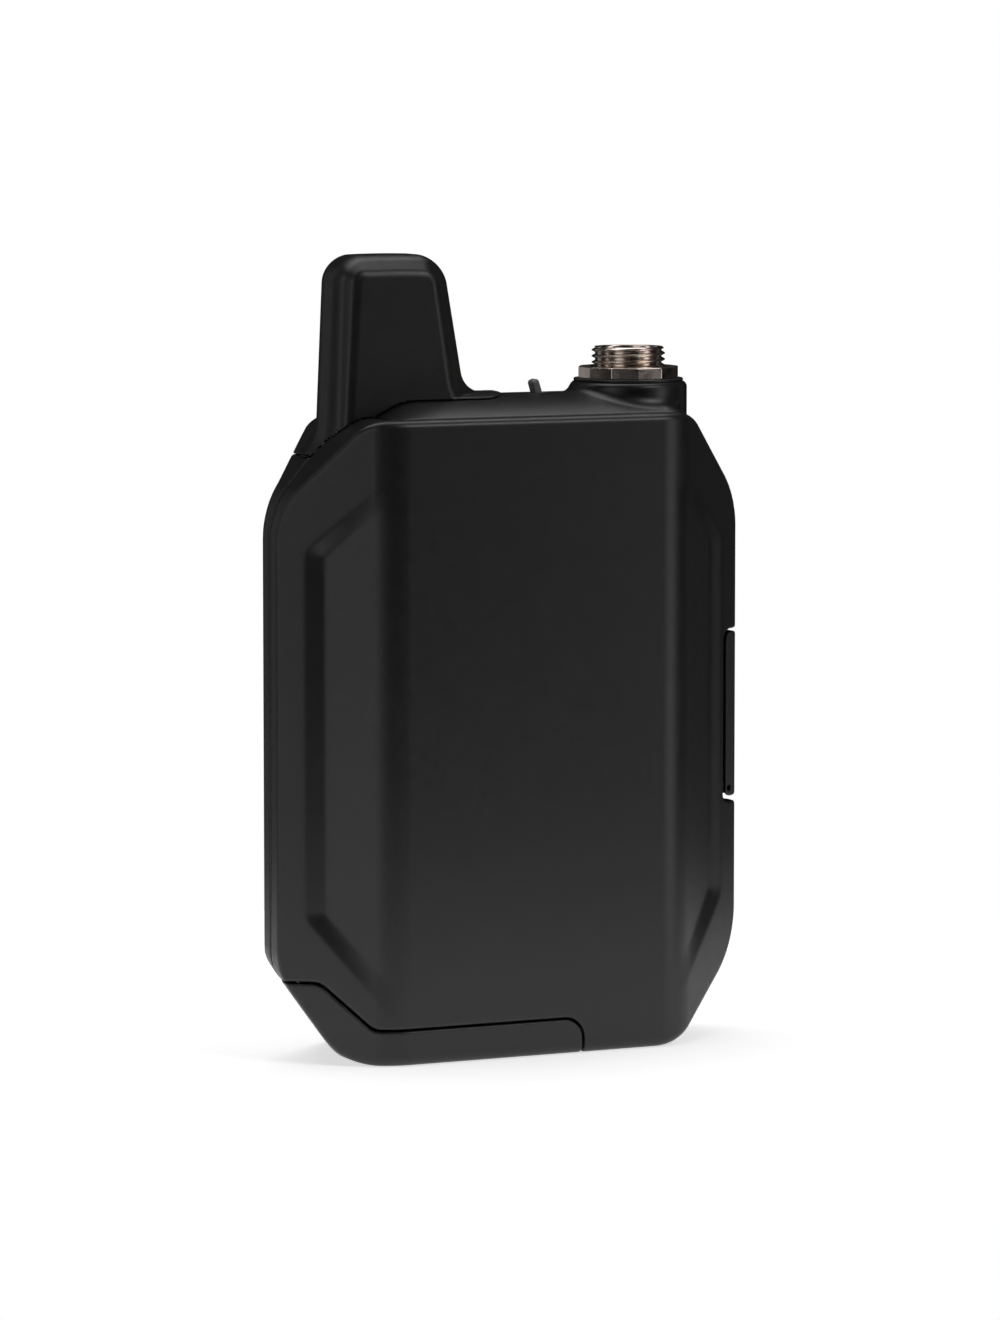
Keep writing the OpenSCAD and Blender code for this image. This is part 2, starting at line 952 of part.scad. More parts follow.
module clip_tongue() {
    color("#2e2f31")
    union() {
        clip_bend(0, 90 - bend_gap);
        clip_blade();
        span([-5, 5], [half_d + 1.6, tongue_y + clip_t], [tongue_low, tongue_low + 1]);
    }
}

// Long blade of the clip, narrower at its foot
module clip_blade() {
    face_prism(
        [
            [-5, tongue_low],
            [5, tongue_low],
            [clip_w / 2, clip_top - 26],
            [clip_w / 2, clip_top],
            [-clip_w / 2, clip_top],
            [-clip_w / 2, clip_top - 26],
        ],
        [tongue_y, tongue_y + clip_t]
    );
}

module clip_screws() {
    color("silver")
    for (p = clip_screws_at) {
        rod_y(2.1, p[0], [half_d + clip_t, half_d + clip_t + 1.1], p[1]);
        rod_y(1.25, p[0], [half_d - 3.5, half_d + clip_t], p[1]);
    }
}

module case_screws() {
    color("silver")
    for (p = case_screws_at) {
        rod_y(1.9, p[0], [half_d - 1.7, half_d - 0.4], p[1]);
        rod_y(1, p[0], [-half_d + 3, half_d - 1.7], p[1]);
    }
}

module rear_label() {
    color("#8b8d90")
    span([-14, 14], [half_d - 0.35, half_d - 0.05], [18, 56]);
}

front_shell();
rear_shell();
antenna_cap();
antenna_element();
main_board();
rf_shield();
io_board();
usb_socket();
link_switch();
link_button();
port_cover();
port_cover_pin();
power_switch_body();
power_switch_lever();
led_light_pipe();
connector_barrel();
connector_insert();
connector_pins();
connector_washer();
connector_nut();
battery();
battery_sleeve();
contact_block();
battery_contacts();
battery_door();
door_hinge_pin();
door_lock_lever();
clip_base();
clip_tongue();
clip_screws();
case_screws();
rear_label();
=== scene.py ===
"""Looks of the wireless bodypack transmitter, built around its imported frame.

Most pieces are surfaces of distance fields, written in millimetres in the frame's own axes: X to the
right, Y to the rear, Z up. A field is negative inside the piece. net() turns one into a mesh.
"""
import json
import math

import bpy
import numpy as np
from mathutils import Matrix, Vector


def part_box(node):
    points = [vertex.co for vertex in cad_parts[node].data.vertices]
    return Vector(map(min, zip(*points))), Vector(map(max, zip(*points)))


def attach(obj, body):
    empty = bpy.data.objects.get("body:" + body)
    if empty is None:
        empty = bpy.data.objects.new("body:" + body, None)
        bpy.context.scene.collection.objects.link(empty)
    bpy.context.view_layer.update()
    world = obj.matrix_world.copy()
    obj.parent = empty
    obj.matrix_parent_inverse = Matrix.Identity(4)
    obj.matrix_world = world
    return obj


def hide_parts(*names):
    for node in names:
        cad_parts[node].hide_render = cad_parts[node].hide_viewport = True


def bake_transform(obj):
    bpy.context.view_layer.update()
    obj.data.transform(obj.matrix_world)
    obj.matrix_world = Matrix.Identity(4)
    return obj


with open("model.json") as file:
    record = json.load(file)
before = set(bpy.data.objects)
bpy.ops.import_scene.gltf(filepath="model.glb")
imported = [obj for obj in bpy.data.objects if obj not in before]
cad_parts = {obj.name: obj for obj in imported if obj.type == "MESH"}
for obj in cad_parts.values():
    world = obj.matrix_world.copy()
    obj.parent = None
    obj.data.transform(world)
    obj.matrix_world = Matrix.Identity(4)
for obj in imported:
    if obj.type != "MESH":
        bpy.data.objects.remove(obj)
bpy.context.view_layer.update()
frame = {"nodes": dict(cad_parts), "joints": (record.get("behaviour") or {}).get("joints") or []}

MM = 0.001


# ---------------------------------------------------------------- sizes in millimetres


def box_mm(node):
    """Lowest and highest corner of a CAD node, in millimetres."""
    low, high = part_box(node)
    return [v / MM for v in low], [v / MM for v in high]


def joint_at(name):
    """Point on a joint's axis, in millimetres."""
    joint = next(j for j in frame["joints"] if j["name"] == name)
    return [v / MM for v in joint["pos_m"]]


front_low, front_high = box_mm("front_shell")
HALF_W = front_high[0]
HALF_D = -front_low[1]
HEIGHT = front_high[2]
PARTING = -front_high[1]
BOSS_TOP = box_mm("rear_shell")[1][2]

# Section of the case seen from above: corners of the right half
PANEL_EDGE = 20.2
SIDE_FRONT = 2.9
SIDE_REAR = 1.8
FACE_R = 8.0
# Outline of the case seen from the front: how far each chamfer reaches in X and Z
TOP_CHAMFER = (9.9, 11.5)
BOTTOM_CHAMFER = (12.4, 11.2)
HEEL_CHAMFER = (6.85, 11.2)
HEEL_DRAFT = 13.4
TOP_R, UPPER_R, LOWER_R, BOTTOM_R = 5.0, 11.0, 12.0, 8.0
RIM_R = 1.1
WALL = 1.5
SEAM = 0.13
SEAM_R = 0.22

# Finger grips
GRIP_DEPTH = 0.75
GRIP_OUTER, GRIP_STEP, GRIP_START, GRIP_INNER = 29.4, 27.2, 20.3, 19.5
GRIP_LOW = (18.6, 5.1)
GRIP_HIGH = (65.5, 76.0)

# Deck and the boss of the connector
CREST = 84.5
DECK_HALF = 9.4
DECK_RISE = CREST - HEIGHT
DECK_R = (DECK_HALF**2 + DECK_RISE**2) / (2 * DECK_RISE)
DECK_AXIS = CREST - DECK_R
DECK_LEFT, DECK_RIGHT = -19.5, 21.9
DECK_FLOOR = HEIGHT - 3
jack_low, jack_high = box_mm("connector_barrel")
JACK_X = (jack_low[0] + jack_high[0]) / 2
JACK_TOP = jack_high[2]
BOSS_R = 7.6
LAMP_X = 8.5

# Antenna cap
cap_low, cap_high = box_mm("antenna_cap")
CAP_TOP = cap_high[2]
CAP_FRONT, CAP_REAR = 4.6, 3.4
CAP_MIDDLE = (-2.3, 2.9)
FOOT_LOW = cap_low[2]
FOOT_REAR = 7.6
PAD_LEFT, PAD_RIGHT = -20.5, -0.8
PAD_RISE = 0.35

# Door: height of its low part, its right end, the gap round it and its wall
DOOR_H, DOOR_X, DOOR_GAP, DOOR_WALL = 4.5, 6.35, 0.26, 1.3
DOOR_STEP = ((-28.0, 10.4), (-22.3, 4.5))
HINGE = joint_at("battery_door_hinge")
KNUCKLE_R = 0.85
HINGE_X = [box_mm("door_hinge_pin")[0][0], box_mm("door_hinge_pin")[1][0]]
LUG_X = (-11.9, -2.1)
PIN_R = 0.4
LOCK_Y = -6.0

# Side bay and its cover
BAY_X, BAY_LOW, BAY_HIGH, BAY_WALL = 29.9, 30.4, 53.1, 1.3
COVER_PIN = joint_at("port_cover_hinge")
cover_low, cover_high = box_mm("port_cover")
COVER_LUGS = ((-2.5, -1.4), (0.3, 1.3))
COVER_EYE_R, COVER_EAR = 0.65, 0.6
port_low, port_high = box_mm("usb_socket")
PORT_Y = (port_low[1] + port_high[1]) / 2
BUTTON_Z = (box_mm("link_button")[0][2] + box_mm("link_button")[1][2]) / 2

# Screws, as (x, z) of their axes
CASE_SCREWS = ((-13.5, 67.0), (13.5, 67.0), (13.5, 10.0))
CLIP_SCREWS = ((-5.0, 68.0), (5.0, 68.0))


# ---------------------------------------------------------------- fields


def both(a, b, r, c=0.0):
    """Where two fields are both solid, with an arc of radius r on the edge they make.

    c is the cosine of the angle between their outward directions, 0 if they meet squarely.
    """
    u, v = a + r, b + r
    arc = np.sqrt(np.maximum(u * u + v * v - 2 * c * u * v, 0) / (1.0001 - c * c))
    return np.where((u > c * v) & (v > c * u), arc, np.maximum(u, v)) - r


def either(a, b, r, c=0.0):
    """Where one field or the other is solid, with a fillet of radius r between them."""
    return -both(-a, -b, r, c)


def minus(a, b, r, c=0.0):
    """Field a without field b, with the edge rounded to radius r."""
    return both(a, -b, r, -c)


def line(u, v, p, q):
    """Distance from the line through p and q, positive on the right of the way from p to q."""
    du, dv = q[0] - p[0], q[1] - p[1]
    return ((u - p[0]) * dv - (v - p[1]) * du) / math.hypot(du, dv)


def span(v, low, high):
    """Distance from the stretch between low and high."""
    return np.maximum(low - v, v - high)


def block(x, y, z, xs, ys, zs, r=0.1):
    """Box with rounded edges."""
    q = [np.abs(v - (s[0] + s[1]) / 2) - (s[1] - s[0]) / 2 + r for v, s in ((x, xs), (y, ys), (z, zs))]
    outside = np.sqrt(sum(np.maximum(v, 0) ** 2 for v in q))
    return outside + np.minimum(np.maximum(np.maximum(q[0], q[1]), q[2]), 0) - r


def rod(u, v, centre, radius, w, ends, r=0.1):
    """Cylinder along w between two ends, with rounded rims."""
    return both(np.hypot(u - centre[0], v - centre[1]) - radius, span(w, *ends), r)


def ease(t, soft=0.12):
    """t held between 0 and 1, with soft corners."""
    return 0.5 * (np.sqrt(t * t + soft * soft) - np.sqrt((t - 1) ** 2 + soft * soft) + 1)


# ---------------------------------------------------------------- shape of the case


def facing(p, q):
    """Unit vector that points to the right of the way from p to q."""
    du, dv = q[0] - p[0], q[1] - p[1]
    return dv / math.hypot(du, dv), -du / math.hypot(du, dv)


FRONT_FLANK = ((PANEL_EDGE, -HALF_D), (HALF_W, -SIDE_FRONT))
REAR_FLANK = ((HALF_W, SIDE_REAR), (PANEL_EDGE, HALF_D))
UPPER_EDGE = ((HALF_W, HEIGHT - TOP_CHAMFER[1]), (HALF_W - TOP_CHAMFER[0], HEIGHT))
LOWER_EDGE = ((HALF_W - BOTTOM_CHAMFER[0], 0), (HALF_W, BOTTOM_CHAMFER[1]))
HEEL_EDGE = ((HALF_W - HEEL_CHAMFER[0], 0), (HALF_W, HEEL_CHAMFER[1]))
HEEL_Y = -HALF_D + (HALF_D - SIDE_FRONT) * (HALF_W - HEEL_CHAMFER[0] - PANEL_EDGE) / (HALF_W - PANEL_EDGE)
HEEL_RIM = ((-HALF_W, -SIDE_FRONT, HEEL_CHAMFER[1]), (HEEL_CHAMFER[0] - HALF_W, HEEL_Y, 0))
HEEL_OUT = np.cross(
    np.subtract(HEEL_RIM[1], HEEL_RIM[0]), np.subtract(HEEL_RIM[0], (HEEL_DRAFT - HALF_W, HALF_D, 0))
)
HEEL_OUT = HEEL_OUT / np.linalg.norm(HEEL_OUT)


def front_face(u, y, t):
    """Front panel and its flank in the right half, moved inwards by t."""
    flank = line(u, y, *FRONT_FLANK) + t
    return both(-y - HALF_D + t, flank, FACE_R - t, -facing(*FRONT_FLANK)[1])


def rear_face(u, y, t):
    """Rear panel and its flank in the right half, moved inwards by t."""
    flank = line(u, y, *REAR_FLANK) + t
    return both(y - HALF_D + t, flank, FACE_R - t, facing(*REAR_FLANK)[1])


def top_chamfer(x, z):
    return line(np.abs(x), z, *UPPER_EDGE)


def lower_end(u, z, t, edge):
    """Lower end of the case with the given chamfer, moved inwards by t."""
    bottom = both(u - HALF_W + t, line(u, z, *edge) + t, LOWER_R - t, facing(*edge)[0])
    return both(bottom, -z + t, BOTTOM_R - t, -facing(*edge)[1])


def outline(x, z, t):
    """The case seen from the front, moved inwards by t. The door's heel is its lower left corner."""
    u = np.abs(x)
    top = both(u - HALF_W + t, line(u, z, *UPPER_EDGE) + t, UPPER_R - t, facing(*UPPER_EDGE)[0])
    top = both(top, z - HEIGHT + t, TOP_R - t, facing(*UPPER_EDGE)[1])
    bottom = np.where(x < 0, lower_end(u, z, t, HEEL_EDGE), lower_end(u, z, t, LOWER_EDGE))
    return np.maximum(top, bottom)


def heel_side(x, y, z):
    """Distance beyond the heel's side, which narrows towards the rear."""
    return sum((v - start) * out for v, start, out in zip((x, y, z), HEEL_RIM[0], HEEL_OUT))


def slant(flat, u, v, t, h=0.02):
    """How fast a flat field grows with u."""
    return (flat(u + h, v, t) - flat(u - h, v, t)) / (2 * h)


def case(x, y, z, t=0.0, rim=RIM_R):
    """The closed case, moved inwards by t, with its edges rounded to radius rim."""
    u = np.abs(x)
    around = outline(x, z, t)
    sideways = np.clip(np.abs(slant(outline, x, z, t)), 0, 1)
    # Softer at the rear, most of all behind the antenna
    rear_rim = rim * (1.6 + 1.4 * np.clip((z - 68) / 6, 0, 1) * np.clip((-x - 16) / 4, 0, 1))
    smaller = 1 - 0.45 * sideways**2
    halves = [
        both(face(u, y, t), around, r * smaller, sideways * np.clip(slant(face, u, y, t), 0, 0.8))
        for face, r in ((front_face, rim), (rear_face, rear_rim))
    ]
    return both(np.maximum(*halves), heel_side(x, y, z) + t, 0.8 * rim, 0.25)


def grip_depth(x, z):
    """How deep the finger grips lie below the flanks."""
    u = np.abs(x)
    low = line(u, z, (GRIP_INNER, GRIP_LOW[1]), (GRIP_OUTER, GRIP_LOW[0]))
    high = line(u, z, (GRIP_OUTER, GRIP_HIGH[0]), (GRIP_INNER, GRIP_HIGH[1]))
    edge = both(both(u - GRIP_OUTER, low, 3.0, 0.8), high, 3.0, 0.73)
    slope = ease((u - GRIP_START) / (GRIP_STEP - GRIP_START))
    return GRIP_DEPTH * ease(-edge / (GRIP_OUTER - GRIP_STEP)) * slope


def bay(x, z, g=0.0):
    return both(both(BAY_X - g - x, BAY_LOW - g - z, 1.1 + g), z - BAY_HIGH - g, 1.4 + g)


def door_space(x, z, g):
    """Space of the battery door seen from the front, grown by g."""
    slope = line(x, z, DOOR_STEP[1], DOOR_STEP[0]) - g
    left = both(z - DOOR_STEP[0][1] - g, slope, 2.0, 0.7)
    return both(either(left, z - DOOR_H - g, 2.0, 0.7), x - DOOR_X - g, 2.5 + g)


def foot_space(x, y, z, g):
    """Corner of the case that belongs to the antenna cap, grown by g."""
    leg = line(x, y, (-26.3, -PARTING), (-22.6, -3.6))
    toe = line(x, y, (-22.6, -3.6), (-19.5, -CAP_FRONT))
    front = either(-PARTING - y, both(leg, toe, 4.0, 0.94), 2.0, 0.8)
    side = np.maximum(x - DECK_LEFT, FOOT_LOW - z)
    return both(np.maximum(front, side), y - FOOT_REAR, 0.8) - g


def arch(y, z):
    return np.hypot(y, z - DECK_AXIS) - DECK_R


def deck_plan(x, y, g):
    """The deck seen from above, grown by g."""
    left = both(DECK_LEFT - g - x, -y - DECK_HALF - g, 2.5)
    return both(left, x - DECK_RIGHT - g, 1.5)


def deck(x, y, z):
    """Raised deck, which falls away at both ends."""
    upright = (z - DECK_AXIS) / np.hypot(y, z - DECK_AXIS)
    left_end = line(x, z, (DECK_LEFT, HEIGHT), (-14.8, CREST))
    top = both(arch(y, z), -left_end, 8.0, 0.9 * upright)
    top = both(top, top_chamfer(x, z), TOP_R, 0.65 * upright)
    top = both(top, deck_plan(x, y, 0), SEAM_R, 0.4)
    return np.maximum(top, np.maximum(DECK_FLOOR - z, y - DECK_HALF - 0.6))


def boss(x, y, z, g=0.0):
    """Boss of the connector, grown by g."""
    side = np.hypot(x - JACK_X, y) - BOSS_R - g
    return np.maximum(both(side, z - BOSS_TOP, 0.8), HEIGHT - 8 - z)


def hollow(x, y, z):
    """Space inside the closed case."""
    space = np.maximum(case(x, y, z, WALL, 0.4), -bay(x, z, BAY_WALL))
    catch = np.maximum(span(x, DOOR_X + DOOR_GAP, DOOR_X + DOOR_GAP + 1.3), z - DOOR_H - 1)
    return np.maximum(space, -catch)


def lock_window(x, y, z):
    """Window in the catch wall that the lock's tongue enters."""
    return block(x, y, z, (DOOR_X, DOOR_X + 3), (LOCK_Y - 2.7, LOCK_Y + 2.7), (1.2, 2.6))


def bay_holes(x, y, z):
    """Holes in the bay's back wall for the port and the button."""
    reach = (port_high[2] - port_low[2] - port_high[1] + port_low[1]) / 2
    middle = (port_high[2] + port_low[2]) / 2
    along = np.maximum(np.abs(z - middle) - reach, 0)
    port = np.hypot(y - PORT_Y, along) - (port_high[1] - port_low[1]) / 2 - 0.08
    button = np.hypot(y - PORT_Y, z - BUTTON_Z) - 1.8
    return np.maximum(np.minimum(port, button), span(x, BAY_X - 3, BAY_X + 1))


def cover_lug(x, y, z, ys):
    """Ear on the bay's back wall that carries the cover's pin."""
    eye = rod(x, z, (COVER_PIN[0], COVER_PIN[2]), COVER_EYE_R, y, ys)
    zs = (COVER_PIN[2] - COVER_EAR, COVER_PIN[2] + COVER_EAR)
    root = block(x, y, z, (BAY_X - 0.3, COVER_PIN[0]), ys, zs)
    bore = np.hypot(x - COVER_PIN[0], z - COVER_PIN[2]) - PIN_R
    return np.maximum(np.minimum(eye, root), -bore)


def columns(x, y, z, places, radius, ends):
    """Round columns or bores along Y."""
    return np.minimum.reduce([rod(x, z, at, radius, y, ends) for at in places])


def front_shell(x, y, z):
    skin = case(x, y, z) + grip_depth(x, z)
    skin = both(skin, y + PARTING + SEAM / 2, SEAM_R)
    skin = minus(skin, np.maximum(deck_plan(x, y, SEAM), DECK_FLOOR - z), SEAM_R)
    skin = minus(skin, np.maximum(np.hypot(x - JACK_X, y) - BOSS_R - SEAM, HEIGHT - 8 - z), SEAM_R)
    skin = minus(skin, foot_space(x, y, z, SEAM), SEAM_R)
    skin = minus(skin, bay(x, z), 0.3)
    skin = minus(skin, door_space(x, z, DOOR_GAP), SEAM_R)
    shell = np.maximum(skin, -hollow(x, y, z))
    posts = columns(x, y, z, CASE_SCREWS, 2.6, (-HALF_D + WALL / 2, -5.6))
    shell = np.minimum(shell, posts)
    shell = np.maximum(shell, -columns(x, y, z, CASE_SCREWS, 1.0, (-HALF_D + 2.5, 0)))
    shell = np.maximum(shell, -np.minimum(lock_window(x, y, z), bay_holes(x, y, z)))
    return np.minimum(shell, cover_lug(x, y, z, COVER_LUGS[0]))


def hinge_lug(x, y, z):
    """The rear shell's share of the door's hinge."""
    eye = rod(y, z, HINGE[1:], KNUCKLE_R, x, LUG_X)
    root = block(x, y, z, LUG_X, (HINGE[1] - 0.65, HALF_D), (HINGE[2], DOOR_H + 1))
    return np.minimum(eye, root)


def rear_shell(x, y, z):
    body = both(case(x, y, z), -y - PARTING + SEAM / 2, SEAM_R)
    body = minus(body, foot_space(x, y, z, SEAM), SEAM_R)
    jack_boss = boss(x, y, z)
    top = np.maximum(deck(x, y, z), -foot_space(x, y, z, SEAM))
    skin = np.minimum(either(body, jack_boss, 0.8), either(top, jack_boss, 1.2))
    skin = minus(skin, bay(x, z), 0.3)
    opening = np.maximum(door_space(x, z, DOOR_GAP), -hinge_lug(x, y, z))
    corner = block(x, y, z, (DOOR_X - 3, DOOR_X + DOOR_GAP), (HINGE[1] - 1.4, 20), (-1, DOOR_H + DOOR_GAP))
    skin = minus(skin, np.minimum(opening, corner), SEAM_R)
    skin = minus(skin, columns(x, y, z, CASE_SCREWS, 2.0, (HALF_D - 1.7, HALF_D + 2)), 0.2)
    seat = block(x, y, z, (-14.3, 14.3), (HALF_D - 0.35, HALF_D + 3), (17.7, 56.3), 0.02)
    skin = minus(skin, seat, 0.12)
    slot = block(x, y, z, (4.1, 7.35), (-1.1, 1.1), (78, 90), 0.3)
    lamp_hole = np.hypot(x - LAMP_X, y) - 0.66
    skin = minus(skin, np.minimum(slot, np.maximum(lamp_hole, 80 - z)), 0.14)
    under_deck = np.maximum(arch(y, z) + 1.4, span(x, DECK_LEFT + 1.4, JACK_X - 8))
    under_deck = np.maximum(under_deck, np.maximum(np.abs(y) - DECK_HALF + 1.4, DECK_FLOOR - 1 - z))
    shell = np.maximum(skin, -np.minimum(hollow(x, y, z), under_deck))
    posts = columns(x, y, z, CASE_SCREWS, 2.6, (-4.6, HALF_D - WALL / 2))
    pads = columns(x, y, z, CLIP_SCREWS, 2.4, (HALF_D - 4, HALF_D - WALL / 2))
    shell = np.minimum(shell, np.minimum(posts, pads))
    bores = columns(x, y, z, CASE_SCREWS, 1.05, (-HALF_D, HALF_D + 1))
    bores = np.minimum(bores, columns(x, y, z, CLIP_SCREWS, 1.25, (HALF_D - 5, HALF_D + 1)))
    bores = np.minimum(bores, rod(y, z, HINGE[1:], PIN_R, x, HINGE_X))
    around = np.hypot(x - JACK_X, y)
    jack_bore = np.minimum(np.maximum(around - 6.4, z - BOSS_TOP + 1.5), around - 5.2)
    bores = np.minimum(bores, np.maximum(jack_bore, 73 - z))
    aerial = block(x, y, z, (-21.6, -11.9), (-1.2, 1.2), (70, 90))
    bores = np.minimum(bores, np.minimum(aerial, bay_holes(x, y, z)))
    bores = np.minimum(bores, lock_window(x, y, z))
    shell = np.maximum(shell, -bores)
    return np.minimum(shell, cover_lug(x, y, z, COVER_LUGS[1]))


def battery_door(x, y, z):
    skin = both(case(x, y, z), door_space(x, z, 0), 0.3)
    # Rear upper edge, rounded about the hinge pin
    behind = np.maximum(HINGE[1] - y, HINGE[2] - z)
    eye = np.hypot(y - HINGE[1], z - HINGE[2]) - KNUCKLE_R
    skin = np.maximum(skin, -np.maximum(behind, -eye))
    inner = np.maximum(case(x, y, z, DOOR_WALL, 0.4), x - DOOR_X + DOOR_WALL)
    tray = np.maximum(skin, -inner)
    for ends in ((HINGE_X[0], LUG_X[0] - 0.1), (LUG_X[1] + 0.1, HINGE_X[1])):
        tray = np.minimum(tray, rod(y, z, HINGE[1:], KNUCKLE_R, x, ends))
    lug_room = block(x, y, z, (LUG_X[0] - 0.1, LUG_X[1] + 0.1), (HINGE[1] - 1.2, 20), (HINGE[2] - 1.3, 20))
    pin = rod(y, z, HINGE[1:], PIN_R + 0.03, x, (HINGE_X[0] - 0.3, HINGE_X[1] + 0.3))
    window = block(x, y, z, (DOOR_X - 3, DOOR_X + 1), (LOCK_Y - 2.6, LOCK_Y + 2.6), (1.35, 2.45))
    tray = np.maximum(tray, -np.minimum(np.minimum(lug_room, pin), window))
    slot = block(x, y, z, (-3.7, 3.4), (LOCK_Y - 1.9, LOCK_Y + 1.9), (-2, 3), 0.5)
    return minus(tray, slot, 0.15)


def port_cover(x, y, z):
    corner = 1.1
    side = both(both(cover_low[0] - x, cover_low[2] - z, corner), z - cover_high[2], corner)
    skin = both(case(x, y, z), side, 0.25)
    # Lower outer edge, rounded so that it clears the bay as the cover turns
    skin = np.maximum(skin, both(x - HALF_W, cover_low[2] - z, 0.7))
    inner = np.maximum(case(x, y, z, 0.6, 0.2), z - cover_high[2] + 0.6)
    lid = np.maximum(skin, -inner)
    ys = (COVER_LUGS[0][1] + 0.1, COVER_LUGS[1][0] - 0.1)
    eye = rod(x, z, (COVER_PIN[0], COVER_PIN[2]), COVER_EYE_R, y, ys)
    zs = (COVER_PIN[2] - COVER_EAR, COVER_PIN[2] + COVER_EAR)
    arm = block(x, y, z, (COVER_PIN[0], HALF_W), ys, zs)
    knuckle = np.maximum(np.minimum(eye, arm), case(x, y, z, 0.2))
    lid = np.minimum(lid, knuckle)
    return np.maximum(lid, PIN_R + 0.03 - np.hypot(x - COVER_PIN[0], z - COVER_PIN[2]))


def antenna_cap(x, y, z):
    """The fin, its foot in the corner of the case and its pad on the deck."""
    # Fin seen from the front, flared into the deck on its right and the case's chamfer on its left
    left = line(x, z, (-24.8, 80.2), (-23.8, CAP_TOP))
    right = line(x, z, (-9.0, CAP_TOP), (-6.3, 87.0))
    crown = z - CAP_TOP + 0.004 * (x + 16.6) ** 2
    fin = both(both(-left, crown, 3.4), -right, 3.6)
    pad = np.maximum(both(arch(y, z) - PAD_RISE, x - PAD_RIGHT, 0.2), PAD_LEFT - x)
    leg = np.maximum(top_chamfer(x, z), x + 23)
    profile = either(either(fin, pad, 3.2, 0.17), leg, 7.0, 0.81)
    # Bevels towards the front and rear faces: narrow on the left, wide on the right
    lean = 0.5 + 0.5 * ease((x + 24.5) / 4) + 0.26 * ease((x + 13) / 5)
    front = (profile + lean * (CAP_MIDDLE[0] - y)) / np.sqrt(1 + lean**2)
    rear = (profile + lean * (y - CAP_MIDDLE[1])) / np.sqrt(1 + lean**2)
    solid = both(both(profile, front, 0.8), -y - CAP_FRONT, 0.5)
    solid = both(both(solid, rear, 0.8), y - CAP_REAR, 0.5)
    solid = np.maximum(solid, FOOT_LOW - z)
    # Pad with a round right end
    end = both(span(y, -CAP_FRONT, CAP_REAR), x - PAD_RIGHT, 3.6)
    base = both(both(arch(y, z) - PAD_RISE, end, 0.2), PAD_LEFT - x, 0.1)
    foot = both(case(x, y, z), foot_space(x, y, z, 0), SEAM_R)
    # Behind its front bevel the fin grows out of the foot with a fillet
    solid = either(solid, foot, 0.05 + 2.5 * np.clip((y + 2) / 3, 0, 1), 0.6)
    solid = np.minimum(np.maximum(solid, span(y, -CAP_FRONT, FOOT_REAR)), base)
    body = np.maximum(case(x, y, z), -foot_space(x, y, z, 0))
    body = np.minimum(body, case(x, y, z, WALL, 0.4))
    body = np.minimum(body, np.maximum(deck(x, y, z) - 0.03, DECK_LEFT - 0.1 - x))
    aerial = block(x, y, z, (-21.6, -11.9), (-1.2, 1.2), (70, 99.2))
    return np.maximum(solid, -np.minimum(body, aerial))


# ---------------------------------------------------------------- meshes from fields


def ticks(low, high, coarse, fine, stretches):
    """Grid places from low to high, close together inside the given stretches."""
    marks, at = [low], low
    while at < high:
        near = any(a - coarse <= at <= b for a, b in stretches)
        inside = any(a <= at <= b for a, b in stretches)
        step = fine if inside else min(coarse, 3 * fine) if near else coarse
        at += step
        marks.append(at)
    return np.array(marks)


CORNERS = [(i, j, k) for i in (0, 1) for j in (0, 1) for k in (0, 1)]
CELL_EDGES = [
    (a, b)
    for a in range(8)
    for b in range(a + 1, 8)
    if sum(p != q for p, q in zip(CORNERS[a], CORNERS[b])) == 1
]


def crossings(grid, values, cells):
    """Mean of the places where the surface crosses each cell's edges."""
    corner_at = np.stack(
        [np.stack([grid[n][cells[n] + c[n]] for n in range(3)], 1) for c in CORNERS], 1
    )
    corner_f = np.stack([values[tuple(cells[n] + c[n] for n in range(3))] for c in CORNERS], 1)
    total = np.zeros((len(cells[0]), 3))
    count = np.zeros(len(cells[0]))
    for a, b in CELL_EDGES:
        fa, fb = corner_f[:, a], corner_f[:, b]
        cut = (fa < 0) != (fb < 0)
        t = np.where(cut, fa / np.where(cut, fa - fb, 1), 0)[:, None]
        total += np.where(cut[:, None], corner_at[:, a] * (1 - t) + corner_at[:, b] * t, 0)
        count += cut
    return total / count[:, None]


def quads(inside, number):
    """One face round each grid edge that the surface crosses, seen from outside anticlockwise."""
    found = []
    for n in range(3):
        first = [slice(1, -1)] * 3
        second = [slice(1, -1)] * 3
        first[n], second[n] = slice(0, -1), slice(1, None)
        a, b = inside[tuple(first)], inside[tuple(second)]
        at = [v + (0 if m == n else 1) for m, v in enumerate(np.nonzero(a != b))]
        leaves = inside[tuple(at)]
        u, v = (n + 1) % 3, (n + 2) % 3
        ring = []
        for du, dv in ((1, 1), (0, 1), (0, 0), (1, 0)):
            cell = list(at)
            cell[u] = at[u] - du
            cell[v] = at[v] - dv
            ring.append(number[tuple(cell)])
        faces = np.stack(ring, 1)
        found.append(np.where(leaves[:, None], faces, faces[:, ::-1]))
    return np.concatenate(found)


def slopes(field, p, h=0.03):
    """Gradient of a field at points, and the sum of its second differences."""
    centre = field(*p.T)
    sides = []
    for n in range(3):
        step = np.zeros(3)
        step[n] = h
        sides.append((field(*(p + step).T), field(*(p - step).T)))
    gradient = np.stack([(a - b) / (2 * h) for a, b in sides], 1)
    bend = sum(a + b - 2 * centre for a, b in sides) / (h * h)
    return centre, gradient, bend


